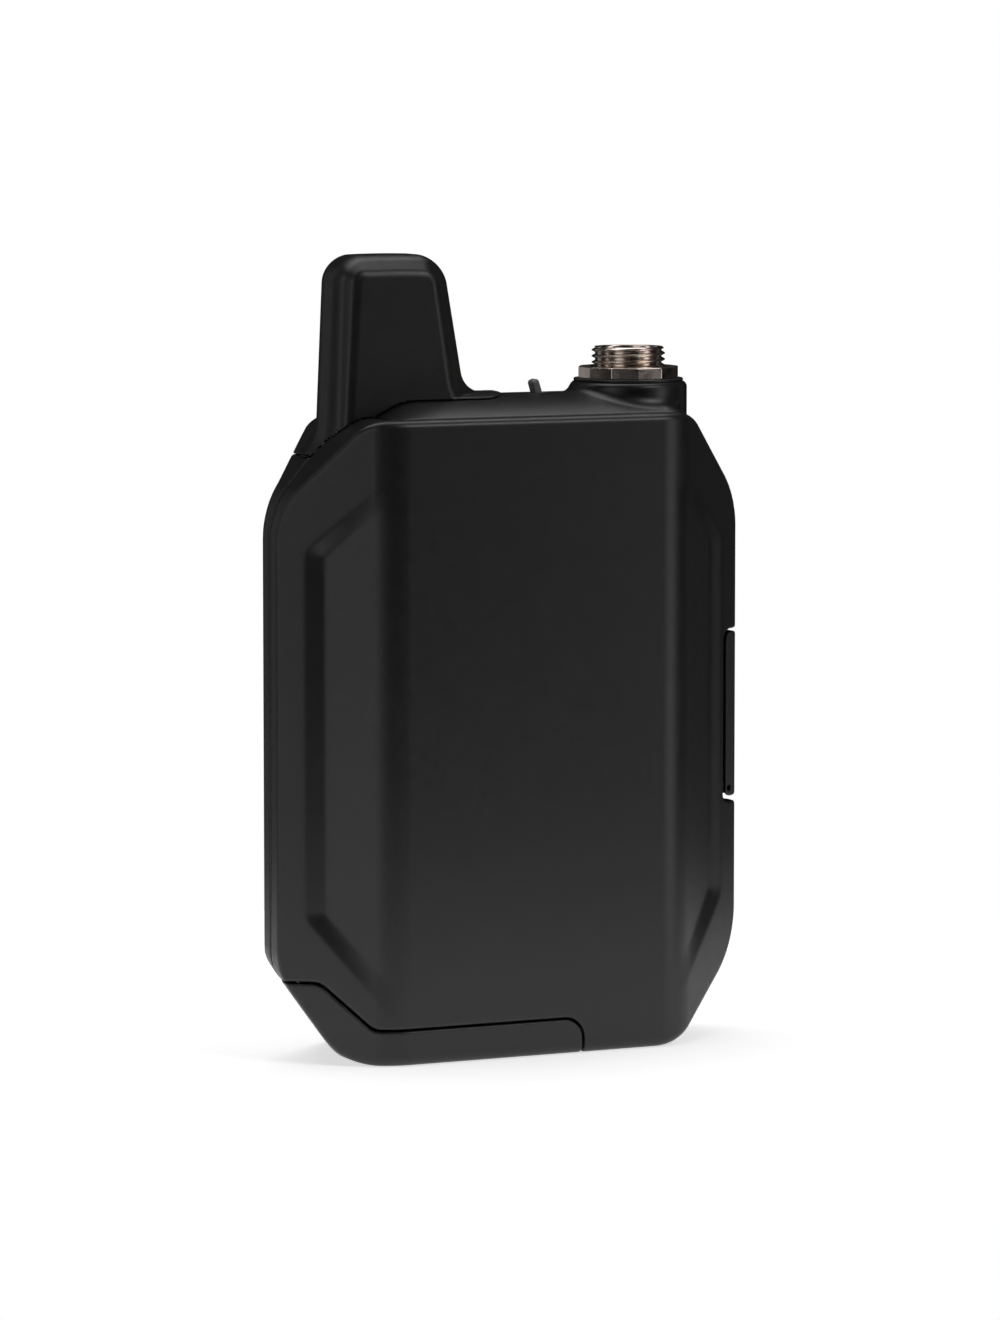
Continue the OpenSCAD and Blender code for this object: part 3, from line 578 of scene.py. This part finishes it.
def net(name, field, grid):
    """Mesh of a field's surface. Its points lie on the surface, and its normals are the field's own."""
    x, y, z = grid
    values = field(x[:, None, None], y[None, :, None], z[None, None, :])
    values = np.broadcast_to(values, (len(x), len(y), len(z)))
    inside = values < 0
    corners = sum(
        inside[i : i + len(x) - 1, j : j + len(y) - 1, k : k + len(z) - 1].astype(np.int8)
        for i, j, k in CORNERS
    )
    cells = np.nonzero((corners > 0) & (corners < 8))
    number = np.full(corners.shape, -1)
    number[cells] = np.arange(len(cells[0]))
    points = crossings(grid, values, cells)
    low = np.stack([grid[n][cells[n]] for n in range(3)], 1)
    high = np.stack([grid[n][cells[n] + 1] for n in range(3)], 1)
    margin = 0.1 * (high - low)
    for _ in range(3):
        height, gradient, bend = slopes(field, points)
        points -= (height / np.maximum((gradient**2).sum(1), 0.05))[:, None] * gradient
        points = np.clip(points, low - margin, high + margin)
    height, gradient, bend = slopes(field, points)
    normals = gradient / np.maximum(np.linalg.norm(gradient, axis=1), 1e-6)[:, None]
    piece = solid_mesh(name, points, quads(inside, number))
    piece.data.normals_split_custom_set_from_vertices(normals)
    # The bend is kept for the materials, which paint convex edges lighter: a painted edge highlight together
    # with wear.
    edges = piece.data.attributes.new("edge", "FLOAT", "POINT")
    edges.data.foreach_set("value", np.clip(bend / 6, 0, 1).astype(np.float32))
    return piece


def solid_mesh(name, points, faces):
    """Smooth mesh object from points in millimetres and faces."""
    mesh = bpy.data.meshes.new(name)
    mesh.from_pydata((np.asarray(points) * MM).tolist(), [], [list(map(int, f)) for f in faces])
    mesh.update()
    mesh.shade_smooth()
    piece = bpy.data.objects.new(name, mesh)
    bpy.context.scene.collection.objects.link(piece)
    return piece


def even(low, high, step, margin=0.5):
    """Even grid round a box."""
    return [np.arange(a - margin, b + margin + step, step) for a, b in zip(low, high)]


# ---------------------------------------------------------------- materials


def new_material(name):
    made = bpy.data.materials.new(name)
    made.use_nodes = True
    return made, made.node_tree, made.node_tree.nodes["Principled BSDF"]


def noise(tree, size_mm, detail=3.0, stretch=None):
    """Noise in the frame's own space, with blobs of about size_mm."""
    place = tree.nodes.new("ShaderNodeTexCoord")
    texture = tree.nodes.new("ShaderNodeTexNoise")
    texture.inputs["Scale"].default_value = 1 / (size_mm * MM)
    texture.inputs["Detail"].default_value = detail
    source = place.outputs["Object"]
    if stretch:
        mapping = tree.nodes.new("ShaderNodeMapping")
        mapping.inputs["Scale"].default_value = stretch
        tree.links.new(source, mapping.inputs["Vector"])
        source = mapping.outputs["Vector"]
    tree.links.new(source, texture.inputs["Vector"])
    return texture.outputs["Fac"]


def remap(tree, value, low, high, start=0.3, end=0.7):
    node = tree.nodes.new("ShaderNodeMapRange")
    node.inputs["From Min"].default_value = start
    node.inputs["From Max"].default_value = end
    node.inputs["To Min"].default_value = low
    node.inputs["To Max"].default_value = high
    tree.links.new(value, node.inputs["Value"])
    return node.outputs["Result"]


def mix(tree, share, a, b):
    """Colour between a and b. Either may be a colour or a socket."""
    node = tree.nodes.new("ShaderNodeMix")
    node.data_type = "RGBA"
    tree.links.new(share, node.inputs["Factor"])
    for value, socket in ((a, node.inputs[6]), (b, node.inputs[7])):
        if isinstance(value, tuple):
            socket.default_value = (*value, 1)
        else:
            tree.links.new(value, socket)
    return node.outputs[2]


def moulded(name, dark, light, rough, grain_mm, bump_mm, metal=0.0, sheen_and_wear=None, specular=0.5, stretch=None):
    """Finish with mottled colour, uneven gloss, a fine grain and, if an edge colour is given, lighter convex
    edges, which are a painted edge highlight as well as wear.
    """
    made, tree, shader = new_material(name)
    colour = mix(tree, remap(tree, noise(tree, 6.0, 5.0), 0, 1), dark, light)
    if sheen_and_wear:
        # Convex edges take the lighter edge colour: a painted edge highlight, mixed with wear.
        edge = tree.nodes.new("ShaderNodeAttribute")
        edge.attribute_name = "edge"
        share = tree.nodes.new("ShaderNodeMath")
        share.operation = "MULTIPLY"
        tree.links.new(edge.outputs["Fac"], share.inputs[0])
        tree.links.new(remap(tree, noise(tree, 2.5, 4.0), 0, 0.8), share.inputs[1])
        colour = mix(tree, share.outputs[0], colour, sheen_and_wear)
    tree.links.new(colour, shader.inputs["Base Color"])
    tree.links.new(remap(tree, noise(tree, 1.3, 4.0), rough[0], rough[1]), shader.inputs["Roughness"])
    bump = tree.nodes.new("ShaderNodeBump")
    bump.inputs["Distance"].default_value = bump_mm * MM
    bump.inputs["Strength"].default_value = 1.0
    tree.links.new(noise(tree, grain_mm, 2.0, stretch), bump.inputs["Height"])
    tree.links.new(bump.outputs["Normal"], shader.inputs["Normal"])
    shader.inputs["Metallic"].default_value = metal
    shader.inputs["Specular IOR Level"].default_value = specular
    return made


# Where an edge colour is given, convex edges are painted lighter: a painted edge highlight together with
# wear.
MATERIALS = {
    "case_black": moulded(
        "case_black", (0.0082, 0.0082, 0.0085), (0.0102, 0.0101, 0.0103), (0.34, 0.39), 0.16, 0.003,
        sheen_and_wear=(0.026, 0.026, 0.027)
    ),
    "cap_black": moulded(
        "cap_black", (0.0085, 0.0086, 0.009), (0.0115, 0.0116, 0.012), (0.36, 0.42), 0.3, 0.005,
        sheen_and_wear=(0.02, 0.02, 0.021)
    ),
    "cover_rubber": moulded(
        "cover_rubber", (0.006, 0.006, 0.006), (0.009, 0.009, 0.009), (0.55, 0.68), 0.1, 0.004
    ),
    "dark_plastic": moulded(
        "dark_plastic", (0.008, 0.008, 0.0085), (0.013, 0.013, 0.0135), (0.4, 0.52), 0.12, 0.004,
        sheen_and_wear=(0.03, 0.03, 0.03)
    ),
    "grey_plastic": moulded(
        "grey_plastic", (0.16, 0.16, 0.165), (0.2, 0.2, 0.205), (0.38, 0.5), 0.12, 0.003
    ),
    "nickel": moulded(
        "nickel", (0.6, 0.51, 0.45), (0.78, 0.69, 0.62), (0.18, 0.28), 0.25, 0.002, metal=1.0,
        stretch=(0.3, 0.3, 2.0)
    ),
    "gold": moulded("gold", (0.75, 0.5, 0.18), (0.9, 0.65, 0.28), (0.2, 0.3), 0.2, 0.001, metal=1.0),
    "pin_steel": moulded(
        "pin_steel", (0.45, 0.45, 0.46), (0.6, 0.6, 0.61), (0.22, 0.36), 0.2, 0.002, metal=1.0
    ),
    "tinned_steel": moulded(
        "tinned_steel", (0.55, 0.55, 0.56), (0.7, 0.7, 0.7), (0.3, 0.42), 0.3, 0.003, metal=1.0
    ),
    "clip_steel": moulded(
        "clip_steel", (0.009, 0.009, 0.0095), (0.014, 0.014, 0.0145), (0.3, 0.42), 0.14, 0.004,
        sheen_and_wear=(0.05, 0.05, 0.052)
    ),
    "lamp_lens": moulded("lamp_lens", (0.35, 0.37, 0.36), (0.45, 0.47, 0.46), (0.12, 0.2), 0.2, 0.001),
    "label_film": moulded(
        "label_film", (0.035, 0.036, 0.038), (0.045, 0.046, 0.048), (0.5, 0.6), 0.08, 0.002
    ),
    "battery_skin": moulded(
        "battery_skin", (0.02, 0.023, 0.03), (0.03, 0.034, 0.042), (0.3, 0.4), 0.2, 0.002
    ),
    "circuit_board": moulded(
        "circuit_board", (0.006, 0.04, 0.016), (0.012, 0.075, 0.03), (0.3, 0.45), 0.5, 0.004
    ),
}


def dress(piece, body, slot, *nodes):
    """Gives a piece its material slot, its body and the CAD nodes that it stands for."""
    piece.data.materials.clear()
    piece.data.materials.append(MATERIALS[slot])
    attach(piece, body)
    if nodes:
        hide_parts(*nodes)
    return piece


# ---------------------------------------------------------------- shells, door, covers

flanks = [(-HALF_W - 1, -16), (16, HALF_W + 1)]
dress(
    net("front_shell_skin", front_shell, [
        ticks(-HALF_W - 0.7, HALF_W + 0.7, 1.2, 0.3, flanks + [(4.5, 9)]),
        ticks(-HALF_D - 0.7, 0.6, 0.3, 0.25, [(-HALF_D - 1, -HALF_D + 2), (-10.2, -8.6)]),
        ticks(-0.7, HEIGHT + 0.8, 1.1, 0.3, [(-1, 20), (29, 34), (51.5, 56), (62, HEIGHT - 4)]
              + [(HEIGHT - 4, HEIGHT + 1)]),
    ]),
    "case", "case_black", "front_shell",
)
dress(
    net("rear_shell_skin", rear_shell, [
        ticks(-HALF_W - 0.7, HALF_W + 0.7, 0.9, 0.32, [(-HALF_W - 1, -20), (3, 27), (29, HALF_W + 1)]
              + [(-16, -11)]),
        ticks(-10.2, HALF_D + 0.7, 0.45, 0.32, [(-10.2, -8.6), (-3, 2.5), (8, HALF_D + 1)]),
        ticks(-0.7, BOSS_TOP + 0.8, 1.1, 0.3, [(-1, 13), (16, 19), (29, 34), (51.5, 58), (63, 72)]
              + [(76, BOSS_TOP + 1)]),
    ]),
    "case", "case_black", "rear_shell",
)
dress(
    net("antenna_cap_skin", antenna_cap, even((-30, -CAP_FRONT, FOOT_LOW), (PAD_RIGHT, 8.6, CAP_TOP), 0.25)),
    "case", "cap_black", "antenna_cap",
)
dress(
    net("battery_door_skin", battery_door, even((-31, -HALF_D, 0), (DOOR_X, HALF_D, 10.5), 0.27)),
    "door", "case_black", "battery_door",
)
dress(
    net("port_cover_skin", port_cover, [
        np.arange(cover_low[0] - 0.4, HALF_W + 0.5, 0.14),
        np.arange(cover_low[1] - 0.4, cover_high[1] + 0.5, 0.18),
        ticks(cover_low[2] - 0.4, cover_high[2] + 0.4, 0.8, 0.15, [(30, 34), (51, 54)]),
    ]),
    "cover", "cover_rubber", "port_cover",
)


# ---------------------------------------------------------------- audio connector

PITCH = 25.4 / 32
THREAD_R = 4.7625
THREAD_DEPTH = 0.46
SOCKET_R = 4.15
SHANK_R = 5.1
FLANGE_R = 6.3
NUT_FACE_R, NUT_CONE, NUT_BORE_R = 6.44, 1.7, 4.72
PIN_CIRCLE = 2.1
washer_low, washer_high = box_mm("connector_washer")
nut_low, nut_high = box_mm("connector_nut")
insert_low, insert_high = box_mm("connector_insert")


def thread_radius(z, turn):
    """Radius of the right-hand thread at a height, turn being the angle in turns."""
    phase = (z / PITCH - turn) % 1
    depth = ease(1.6 * np.abs(2 * phase - 1) - 0.25, 0.1) * THREAD_DEPTH
    taper = np.clip((z - JACK_TOP + 0.55) / 0.55, 0, 1) ** 2 * 0.34
    return THREAD_R - np.maximum(depth, taper)


def barrel():
    """Threaded barrel as rings of points, from its flange under the boss up and over to the bore."""
    steps = 144
    turn = np.arange(steps) / steps
    rings = []

    def ring(radius, z):
        rings.append(np.stack([
            JACK_X + radius * np.cos(2 * math.pi * turn),
            radius * np.sin(2 * math.pi * turn),
            np.full(steps, z),
        ], 1))

    flange_top = BOSS_TOP - 1.5
    flange_low = flange_top - 1.3
    for radius, z in (
        (SOCKET_R, jack_low[2]), (SHANK_R, jack_low[2]), (SHANK_R, flange_low), (FLANGE_R, flange_low),
        (FLANGE_R, flange_top), (SHANK_R, flange_top), (SHANK_R, nut_low[2] - 0.05),
        (THREAD_R - 0.1, nut_low[2]),
    ):
        ring(np.full(steps, radius), z)
    for z in np.arange(nut_low[2] + 0.04, JACK_TOP - 0.03, 0.042):
        ring(thread_radius(z, turn), z)
    for radius, z in (
        (4.42, JACK_TOP), (4.32, JACK_TOP), (4.2, JACK_TOP - 0.06), (SOCKET_R, JACK_TOP - 0.16),
        (SOCKET_R, JACK_TOP - 0.7), (SOCKET_R, insert_high[2]), (SOCKET_R, insert_low[2]),
    ):
        ring(np.full(steps, radius), z)
    count = len(rings)
    faces = [
        (r * steps + s, r * steps + (s + 1) % steps, (r + 1) % count * steps + (s + 1) % steps,
         (r + 1) % count * steps + s)
        for r in range(count)
        for s in range(steps)
    ]
    return solid_mesh("connector_barrel_thread", np.concatenate(rings), faces)


def nut(x, y, z):
    u, v = x - JACK_X, y
    apothem = (nut_high[1] - nut_low[1]) / 2
    sides = np.maximum.reduce([
        u * math.cos(math.radians(a)) + v * math.sin(math.radians(a)) for a in range(0, 360, 30)
    ]) - apothem
    around = np.hypot(u, v)
    # Corners of both faces turned down to a cone
    beyond = np.maximum(z - nut_high[2], nut_low[2] - z)
    cone = (around + NUT_CONE * beyond - NUT_FACE_R) / math.hypot(1, NUT_CONE)
    body = both(both(sides, span(z, nut_low[2], nut_high[2]), 0.07), cone, 0.05)
    bore = np.minimum(around - NUT_BORE_R, (around - SHANK_R + nut_high[2] - z) * 0.7)
    return minus(body, bore, 0.04)


def washer(x, y, z):
    around = np.hypot(x - JACK_X, y)
    ring = span(around, 5.15, (washer_high[0] - washer_low[0]) / 2)
    return both(ring, span(z, washer_low[2], washer_high[2]), 0.1)


def insert(x, y, z):
    around = np.hypot(x - JACK_X, y)
    disc = both(around - SOCKET_R + 0.02, span(z, insert_low[2], insert_high[2]), 0.15)
    dish = both(around - 3.3, insert_high[2] - 0.35 - z, 0.1)
    key = block(x, y, z, (JACK_X - 0.7, JACK_X + 0.7), (2.5, 4.6), (80, 90))
    disc = minus(disc, np.maximum(dish, -key), 0.08)
    return np.maximum(disc, -pin_rods(x, y, z, 0.49, (70, 90), 0.02))


def pin_rods(x, y, z, radius, ends, r):
    turns = [math.radians(a) for a in (45, 135, 225, 315)]
    places = [(JACK_X + PIN_CIRCLE * math.cos(a), PIN_CIRCLE * math.sin(a)) for a in turns]
    return np.minimum.reduce([rod(x, y, at, radius, z, ends, r) for at in places])


def pins(x, y, z):
    low, high = box_mm("connector_pins")
    return pin_rods(x, y, z, 0.475, (low[2], high[2]), 0.4)


def sized(name, node, field, step, body, slot, margin=0.25):
    """Piece made on an even grid round the CAD node that it stands for."""
    dress(net(name, field, even(*box_mm(node), step, margin)), body, slot, node)


dress(barrel(), "case", "nickel", "connector_barrel")
sized("connector_nut_faceted", "connector_nut", nut, 0.09, "case", "nickel", 0.2)
sized("connector_washer_ring", "connector_washer", washer, 0.12, "case", "dark_plastic", 0.2)
sized("connector_insert_disc", "connector_insert", insert, 0.12, "case", "dark_plastic", 0.2)
sized("connector_pin_set", "connector_pins", pins, 0.1, "case", "gold", 0.2)


# ---------------------------------------------------------------- switch, lamp, button, lock

SWITCH = joint_at("power_switch_toggle")
SWITCH_LEAN = math.radians(17)


def switch_lever(x, y, z):
    u = (x - SWITCH[0]) * math.cos(SWITCH_LEAN) + (z - SWITCH[2]) * math.sin(SWITCH_LEAN)
    w = -(x - SWITCH[0]) * math.sin(SWITCH_LEAN) + (z - SWITCH[2]) * math.cos(SWITCH_LEAN)
    half = 0.6 - 0.012 * w
    blade = both(both(np.abs(u) - half, np.abs(y) - 0.8, 0.3), span(w, -2.6, 4.75), 0.45)
    hub = rod(u, w, (0, 0), 0.75, y, (-0.8, 0.8))
    axle = rod(u, w, (0, 0), 0.5, y, (-1.9, 1.9))
    return np.minimum(either(blade, hub, 0.3), axle)


def lamp(x, y, z):
    low, high = box_mm("led_light_pipe")
    around = np.hypot(x - LAMP_X, y)
    stem = both(around - 0.6, z - high[2] + 0.25 * around**2, 0.1)
    foot = np.maximum(around - 1.0, z - low[2] - 0.5)
    return np.maximum(np.minimum(stem, foot), low[2] - z)


def button(x, y, z):
    low, high = box_mm("link_button")
    around = np.hypot(y - PORT_Y, z - BUTTON_Z)
    cap = both(around - 1.7, x - high[0] + 0.02 * around**2, 0.25)
    return np.maximum(cap, low[0] - x)


def lock_lever(x, y, z):
    low, high = box_mm("door_lock_lever")
    plate = block(x, y, z, (low[0], high[0]), (low[1], high[1]), (1.45, 2.35), 0.2)
    knob = block(x, y, z, (-3.4, 0.6), (LOCK_Y - 1.7, LOCK_Y + 1.7), (low[2], 1.7), 0.35)
    ribs = low[2] + 0.35 - z + 0.3 * np.cos(2 * math.pi * (x + 1.4) / 0.9)
    return np.minimum(plate, np.maximum(knob, np.where(np.abs(x + 1.4) < 1.5, ribs * 0.4, -1)))


sized("power_switch_paddle", "power_switch_lever", switch_lever, 0.11, "switch_lever", "grey_plastic")
sized("lamp_lens_dome", "led_light_pipe", lamp, 0.09, "case", "lamp_lens")
sized("link_button_cap", "link_button", button, 0.12, "button", "dark_plastic")
sized("door_lock_slider", "door_lock_lever", lock_lever, 0.12, "door_lock", "dark_plastic")


# ---------------------------------------------------------------- clip, screws, label, battery

clip_low, clip_high = box_mm("clip_tongue")
base_low = box_mm("clip_base")[0]
CLIP_BEND = joint_at("clip_spring")
CLIP_T = 1.0
CLIP_HALF_W = 10.0
BEND_R = (clip_high[1] - HALF_D - CLIP_T) / 2


def clip(x, y, z):
    """Belt clip: one strip, flat on the case, over the top bend and down to a turned-in foot."""
    half = CLIP_T / 2
    top = CLIP_BEND[2]
    base = np.maximum(np.abs(y - HALF_D - half) - half, np.maximum(base_low[2] - z, z - top))
    bend = np.abs(np.hypot(y - CLIP_BEND[1], z - top) - BEND_R) - half
    bend = np.maximum(bend, top - z)
    middle = clip_high[1] - half
    turn_r = 1.6
    turn = (middle - turn_r, clip_low[2] + half + turn_r)
    blade = np.maximum(np.abs(y - middle) - half, span(z, turn[1], top))
    curl = np.abs(np.hypot(y - turn[0], z - turn[1]) - turn_r) - half
    curl = np.maximum(curl, np.maximum(turn[0] - y, z - turn[1]))
    lip = np.maximum(np.abs(z - clip_low[2] - half) - half, span(y, HALF_D + 1.6, turn[0]))
    strip = np.minimum.reduce([base, bend, blade, curl, lip])
    taper = line(np.abs(x), z, (5.0, clip_low[2]), (CLIP_HALF_W, 50.5))
    width = both(np.abs(x) - CLIP_HALF_W, taper, 12.0)
    low_end = both(np.abs(x) - CLIP_HALF_W, base_low[2] - z, 2.0)
    width = np.maximum(width, np.where(y < HALF_D + 2, low_end, -CLIP_HALF_W))
    strip = both(strip, width, 0.2)
    holes = columns(x, y, z, CLIP_SCREWS, 1.35, (HALF_D - 1, HALF_D + 2))
    return np.maximum(strip, -holes)


def screw_heads(x, y, z, places, radius, ends):
    """Pan heads with a cross recess, facing the rear."""
    heads = []
    for cx, cz in places:
        around = np.hypot(x - cx, z - cz)
        head = both(around - radius, np.maximum(ends[0] - y, y - ends[1] + 0.09 * around**2), 0.2)
        arms = np.minimum(
            np.maximum(np.abs(x - cx) - 0.32, np.abs(z - cz) - 0.62 * radius),
            np.maximum(np.abs(z - cz) - 0.32, np.abs(x - cx) - 0.62 * radius),
        )
        recess = np.maximum(arms, ends[1] - 0.85 - y + 0.5 * around)
        heads.append(minus(head, recess, 0.06))
    return np.minimum.reduce(heads)


def clip_screws(x, y, z):
    heads = screw_heads(x, y, z, CLIP_SCREWS, 2.1, (HALF_D + 1, HALF_D + 2.1))
    return np.minimum(heads, columns(x, y, z, CLIP_SCREWS, 1.2, (HALF_D - 3.5, HALF_D + 1.3)))


def case_screws(x, y, z):
    heads = screw_heads(x, y, z, CASE_SCREWS, 1.9, (HALF_D - 1.7, HALF_D - 0.4))
    return np.minimum(heads, columns(x, y, z, CASE_SCREWS, 0.98, (-HALF_D + 3, HALF_D - 1.5)))


def label(x, y, z):
    low, high = box_mm("rear_label")
    plan = both(np.abs(x) - high[0], np.abs(z - (low[2] + high[2]) / 2) - (high[2] - low[2]) / 2, 1.2)
    return both(plan, span(y, low[1], high[1]), 0.06)


def battery(x, y, z):
    return block(x, y, z, *zip(*box_mm("battery")), 1.6)


CLIP_X = ticks(-10.6, 10.6, 1.0, 0.3, [(-11, -3), (3, 11)])
clip_piece = net("belt_clip_strip", clip, [
    CLIP_X,
    np.arange(HALF_D - 0.4, clip_high[1] + 0.5, 0.2),
    ticks(clip_low[2] - 0.5, clip_high[2] + 0.5, 1.2, 0.25, [(16, 22), (60, 80)]),
])
clip_piece.data.materials.append(MATERIALS["clip_steel"])
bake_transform(clip_piece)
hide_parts("clip_base", "clip_tongue")

screw_x = ticks(-8, 8, 1.0, 0.13, [(-7.4, -2.6), (2.6, 7.4)])
dress(net("clip_screw_pair", clip_screws, [
    screw_x, ticks(7.5, 14, 0.5, 0.13, [(12, 14)]), ticks(65.5, 70.5, 1, 0.13, [(65.5, 70.5)])
]), "case", "pin_steel", "clip_screws")
dress(net("case_screw_set", case_screws, [
    ticks(-16, 16, 1.5, 0.15, [(-15.6, -11.4), (11.4, 15.6)]),
    ticks(-HALF_D + 2.5, HALF_D, 2.0, 0.15, [(HALF_D - 2, HALF_D)]),
    ticks(7.5, 69.5, 2.0, 0.15, [(7.9, 12.1), (64.9, 69.1)]),
]), "case", "pin_steel", "case_screws")
dress(net("rear_label_film", label, [
    ticks(-14.6, 14.6, 1.5, 0.2, [(-14.6, -12), (12, 14.6)]),
    np.arange(HALF_D - 0.5, HALF_D + 0.3, 0.07),
    ticks(17.4, 56.6, 1.5, 0.2, [(17.4, 20), (54, 56.6)]),
]), "case", "label_film", "rear_label")
dress(net("battery_cell", battery, [
    ticks(-22.2, 5.2, 1.5, 0.4, [(-22.2, -19), (2, 5.2)]),
    np.arange(-3.8, 4.8, 0.4),
    ticks(5.2, 58.4, 2.5, 0.4, [(5.2, 8.5), (55, 58.4)]),
]), "case", "battery_skin", "battery")


# ---------------------------------------------------------------- CAD nodes that stay as they are

PLAIN_NODES = {
    "antenna_element": "circuit_board", "main_board": "circuit_board", "io_board": "circuit_board",
    "rf_shield": "tinned_steel", "usb_socket": "tinned_steel", "link_switch": "dark_plastic",
    "port_cover_pin": "pin_steel", "power_switch_body": "dark_plastic", "battery_sleeve": "dark_plastic",
    "contact_block": "dark_plastic", "battery_contacts": "gold", "door_hinge_pin": "pin_steel",
}
for node, slot_name in PLAIN_NODES.items():
    part = frame["nodes"][node]
    part.data.materials.clear()
    part.data.materials.append(MATERIALS[slot_name])


# ---------------------------------------------------------------- floor, lights, camera

scene = bpy.context.scene
scene.view_settings.view_transform = "Standard"
TARGET = Vector((-0.0001, 0, 0.05))


def direction(azimuth, elevation):
    """Unit vector towards a place round the object. Azimuth 0 is in front of it and 90 on its right."""
    a, e = math.radians(azimuth), math.radians(elevation)
    return Vector((math.sin(a) * math.cos(e), -math.cos(a) * math.cos(e), math.sin(e)))


def floor():
    steps, radius, drop = 64, 0.125, 0.00005
    turns = [2 * math.pi * s / steps for s in range(steps)]
    ring = [(radius * math.cos(a), radius * math.sin(a), -drop) for a in turns]
    mesh = bpy.data.meshes.new("floor")
    mesh.from_pydata(ring, [], [list(range(steps))])
    made = bpy.data.objects.new("floor", mesh)
    scene.collection.objects.link(made)
    material, _, shader = new_material("pale_floor")
    shader.inputs["Base Color"].default_value = (0.9, 0.9, 0.9, 1)
    shader.inputs["Roughness"].default_value = 0.9
    shader.inputs["Specular IOR Level"].default_value = 0.1
    shader.inputs["Emission Color"].default_value = (1, 1, 1, 1)
    shader.inputs["Emission Strength"].default_value = 0.62
    mesh.materials.append(material)


def softbox(name, azimuth, elevation, distance, size, power):
    lamp_data = bpy.data.lights.new(name, "AREA")
    lamp_data.shape = "RECTANGLE"
    lamp_data.size, lamp_data.size_y = size
    lamp_data.energy = power
    made = bpy.data.objects.new(name, lamp_data)
    scene.collection.objects.link(made)
    back = direction(azimuth, elevation)
    made.location = TARGET + back * distance
    made.rotation_euler = back.to_track_quat("Z", "Y").to_euler()
    made.visible_camera = False


floor()
softbox("overhead", 180, 78, 1.1, (1.3, 0.7), 6.5)
softbox("top_front", 32, 42, 1.2, (0.5, 0.3), 2.6)
softbox("left_front", -58, 6, 1.2, (0.6, 1.2), 2.1)
softbox("left", -102, 12, 1.2, (0.3, 1.0), 1.2)
softbox("left_rear", -150, 10, 1.2, (0.4, 1.0), 0.4)
softbox("right", 102, 8, 1.2, (0.4, 1.2), 0.14)
softbox("front_right", 43, -2, 0.7, (0.22, 0.8), 0.8)

world = bpy.data.worlds.new("white")
world.use_nodes = True
world.node_tree.nodes["Background"].inputs["Color"].default_value = (1, 1, 1, 1)
world.cycles_visibility.diffuse = False
world.cycles_visibility.glossy = False
world.cycles_visibility.transmission = False
scene.world = world

AZIMUTH, ELEVATION, DISTANCE = -24.736, 5.915, 0.76434
camera_data = bpy.data.cameras.new("camera")
camera_data.sensor_width = 36.0
camera_data.lens = 161.6
camera = bpy.data.objects.new("camera", camera_data)
scene.collection.objects.link(camera)
back = direction(AZIMUTH, ELEVATION)
camera.location = TARGET + back * DISTANCE
camera.rotation_euler = back.to_track_quat("Z", "Y").to_euler()
scene.camera = camera
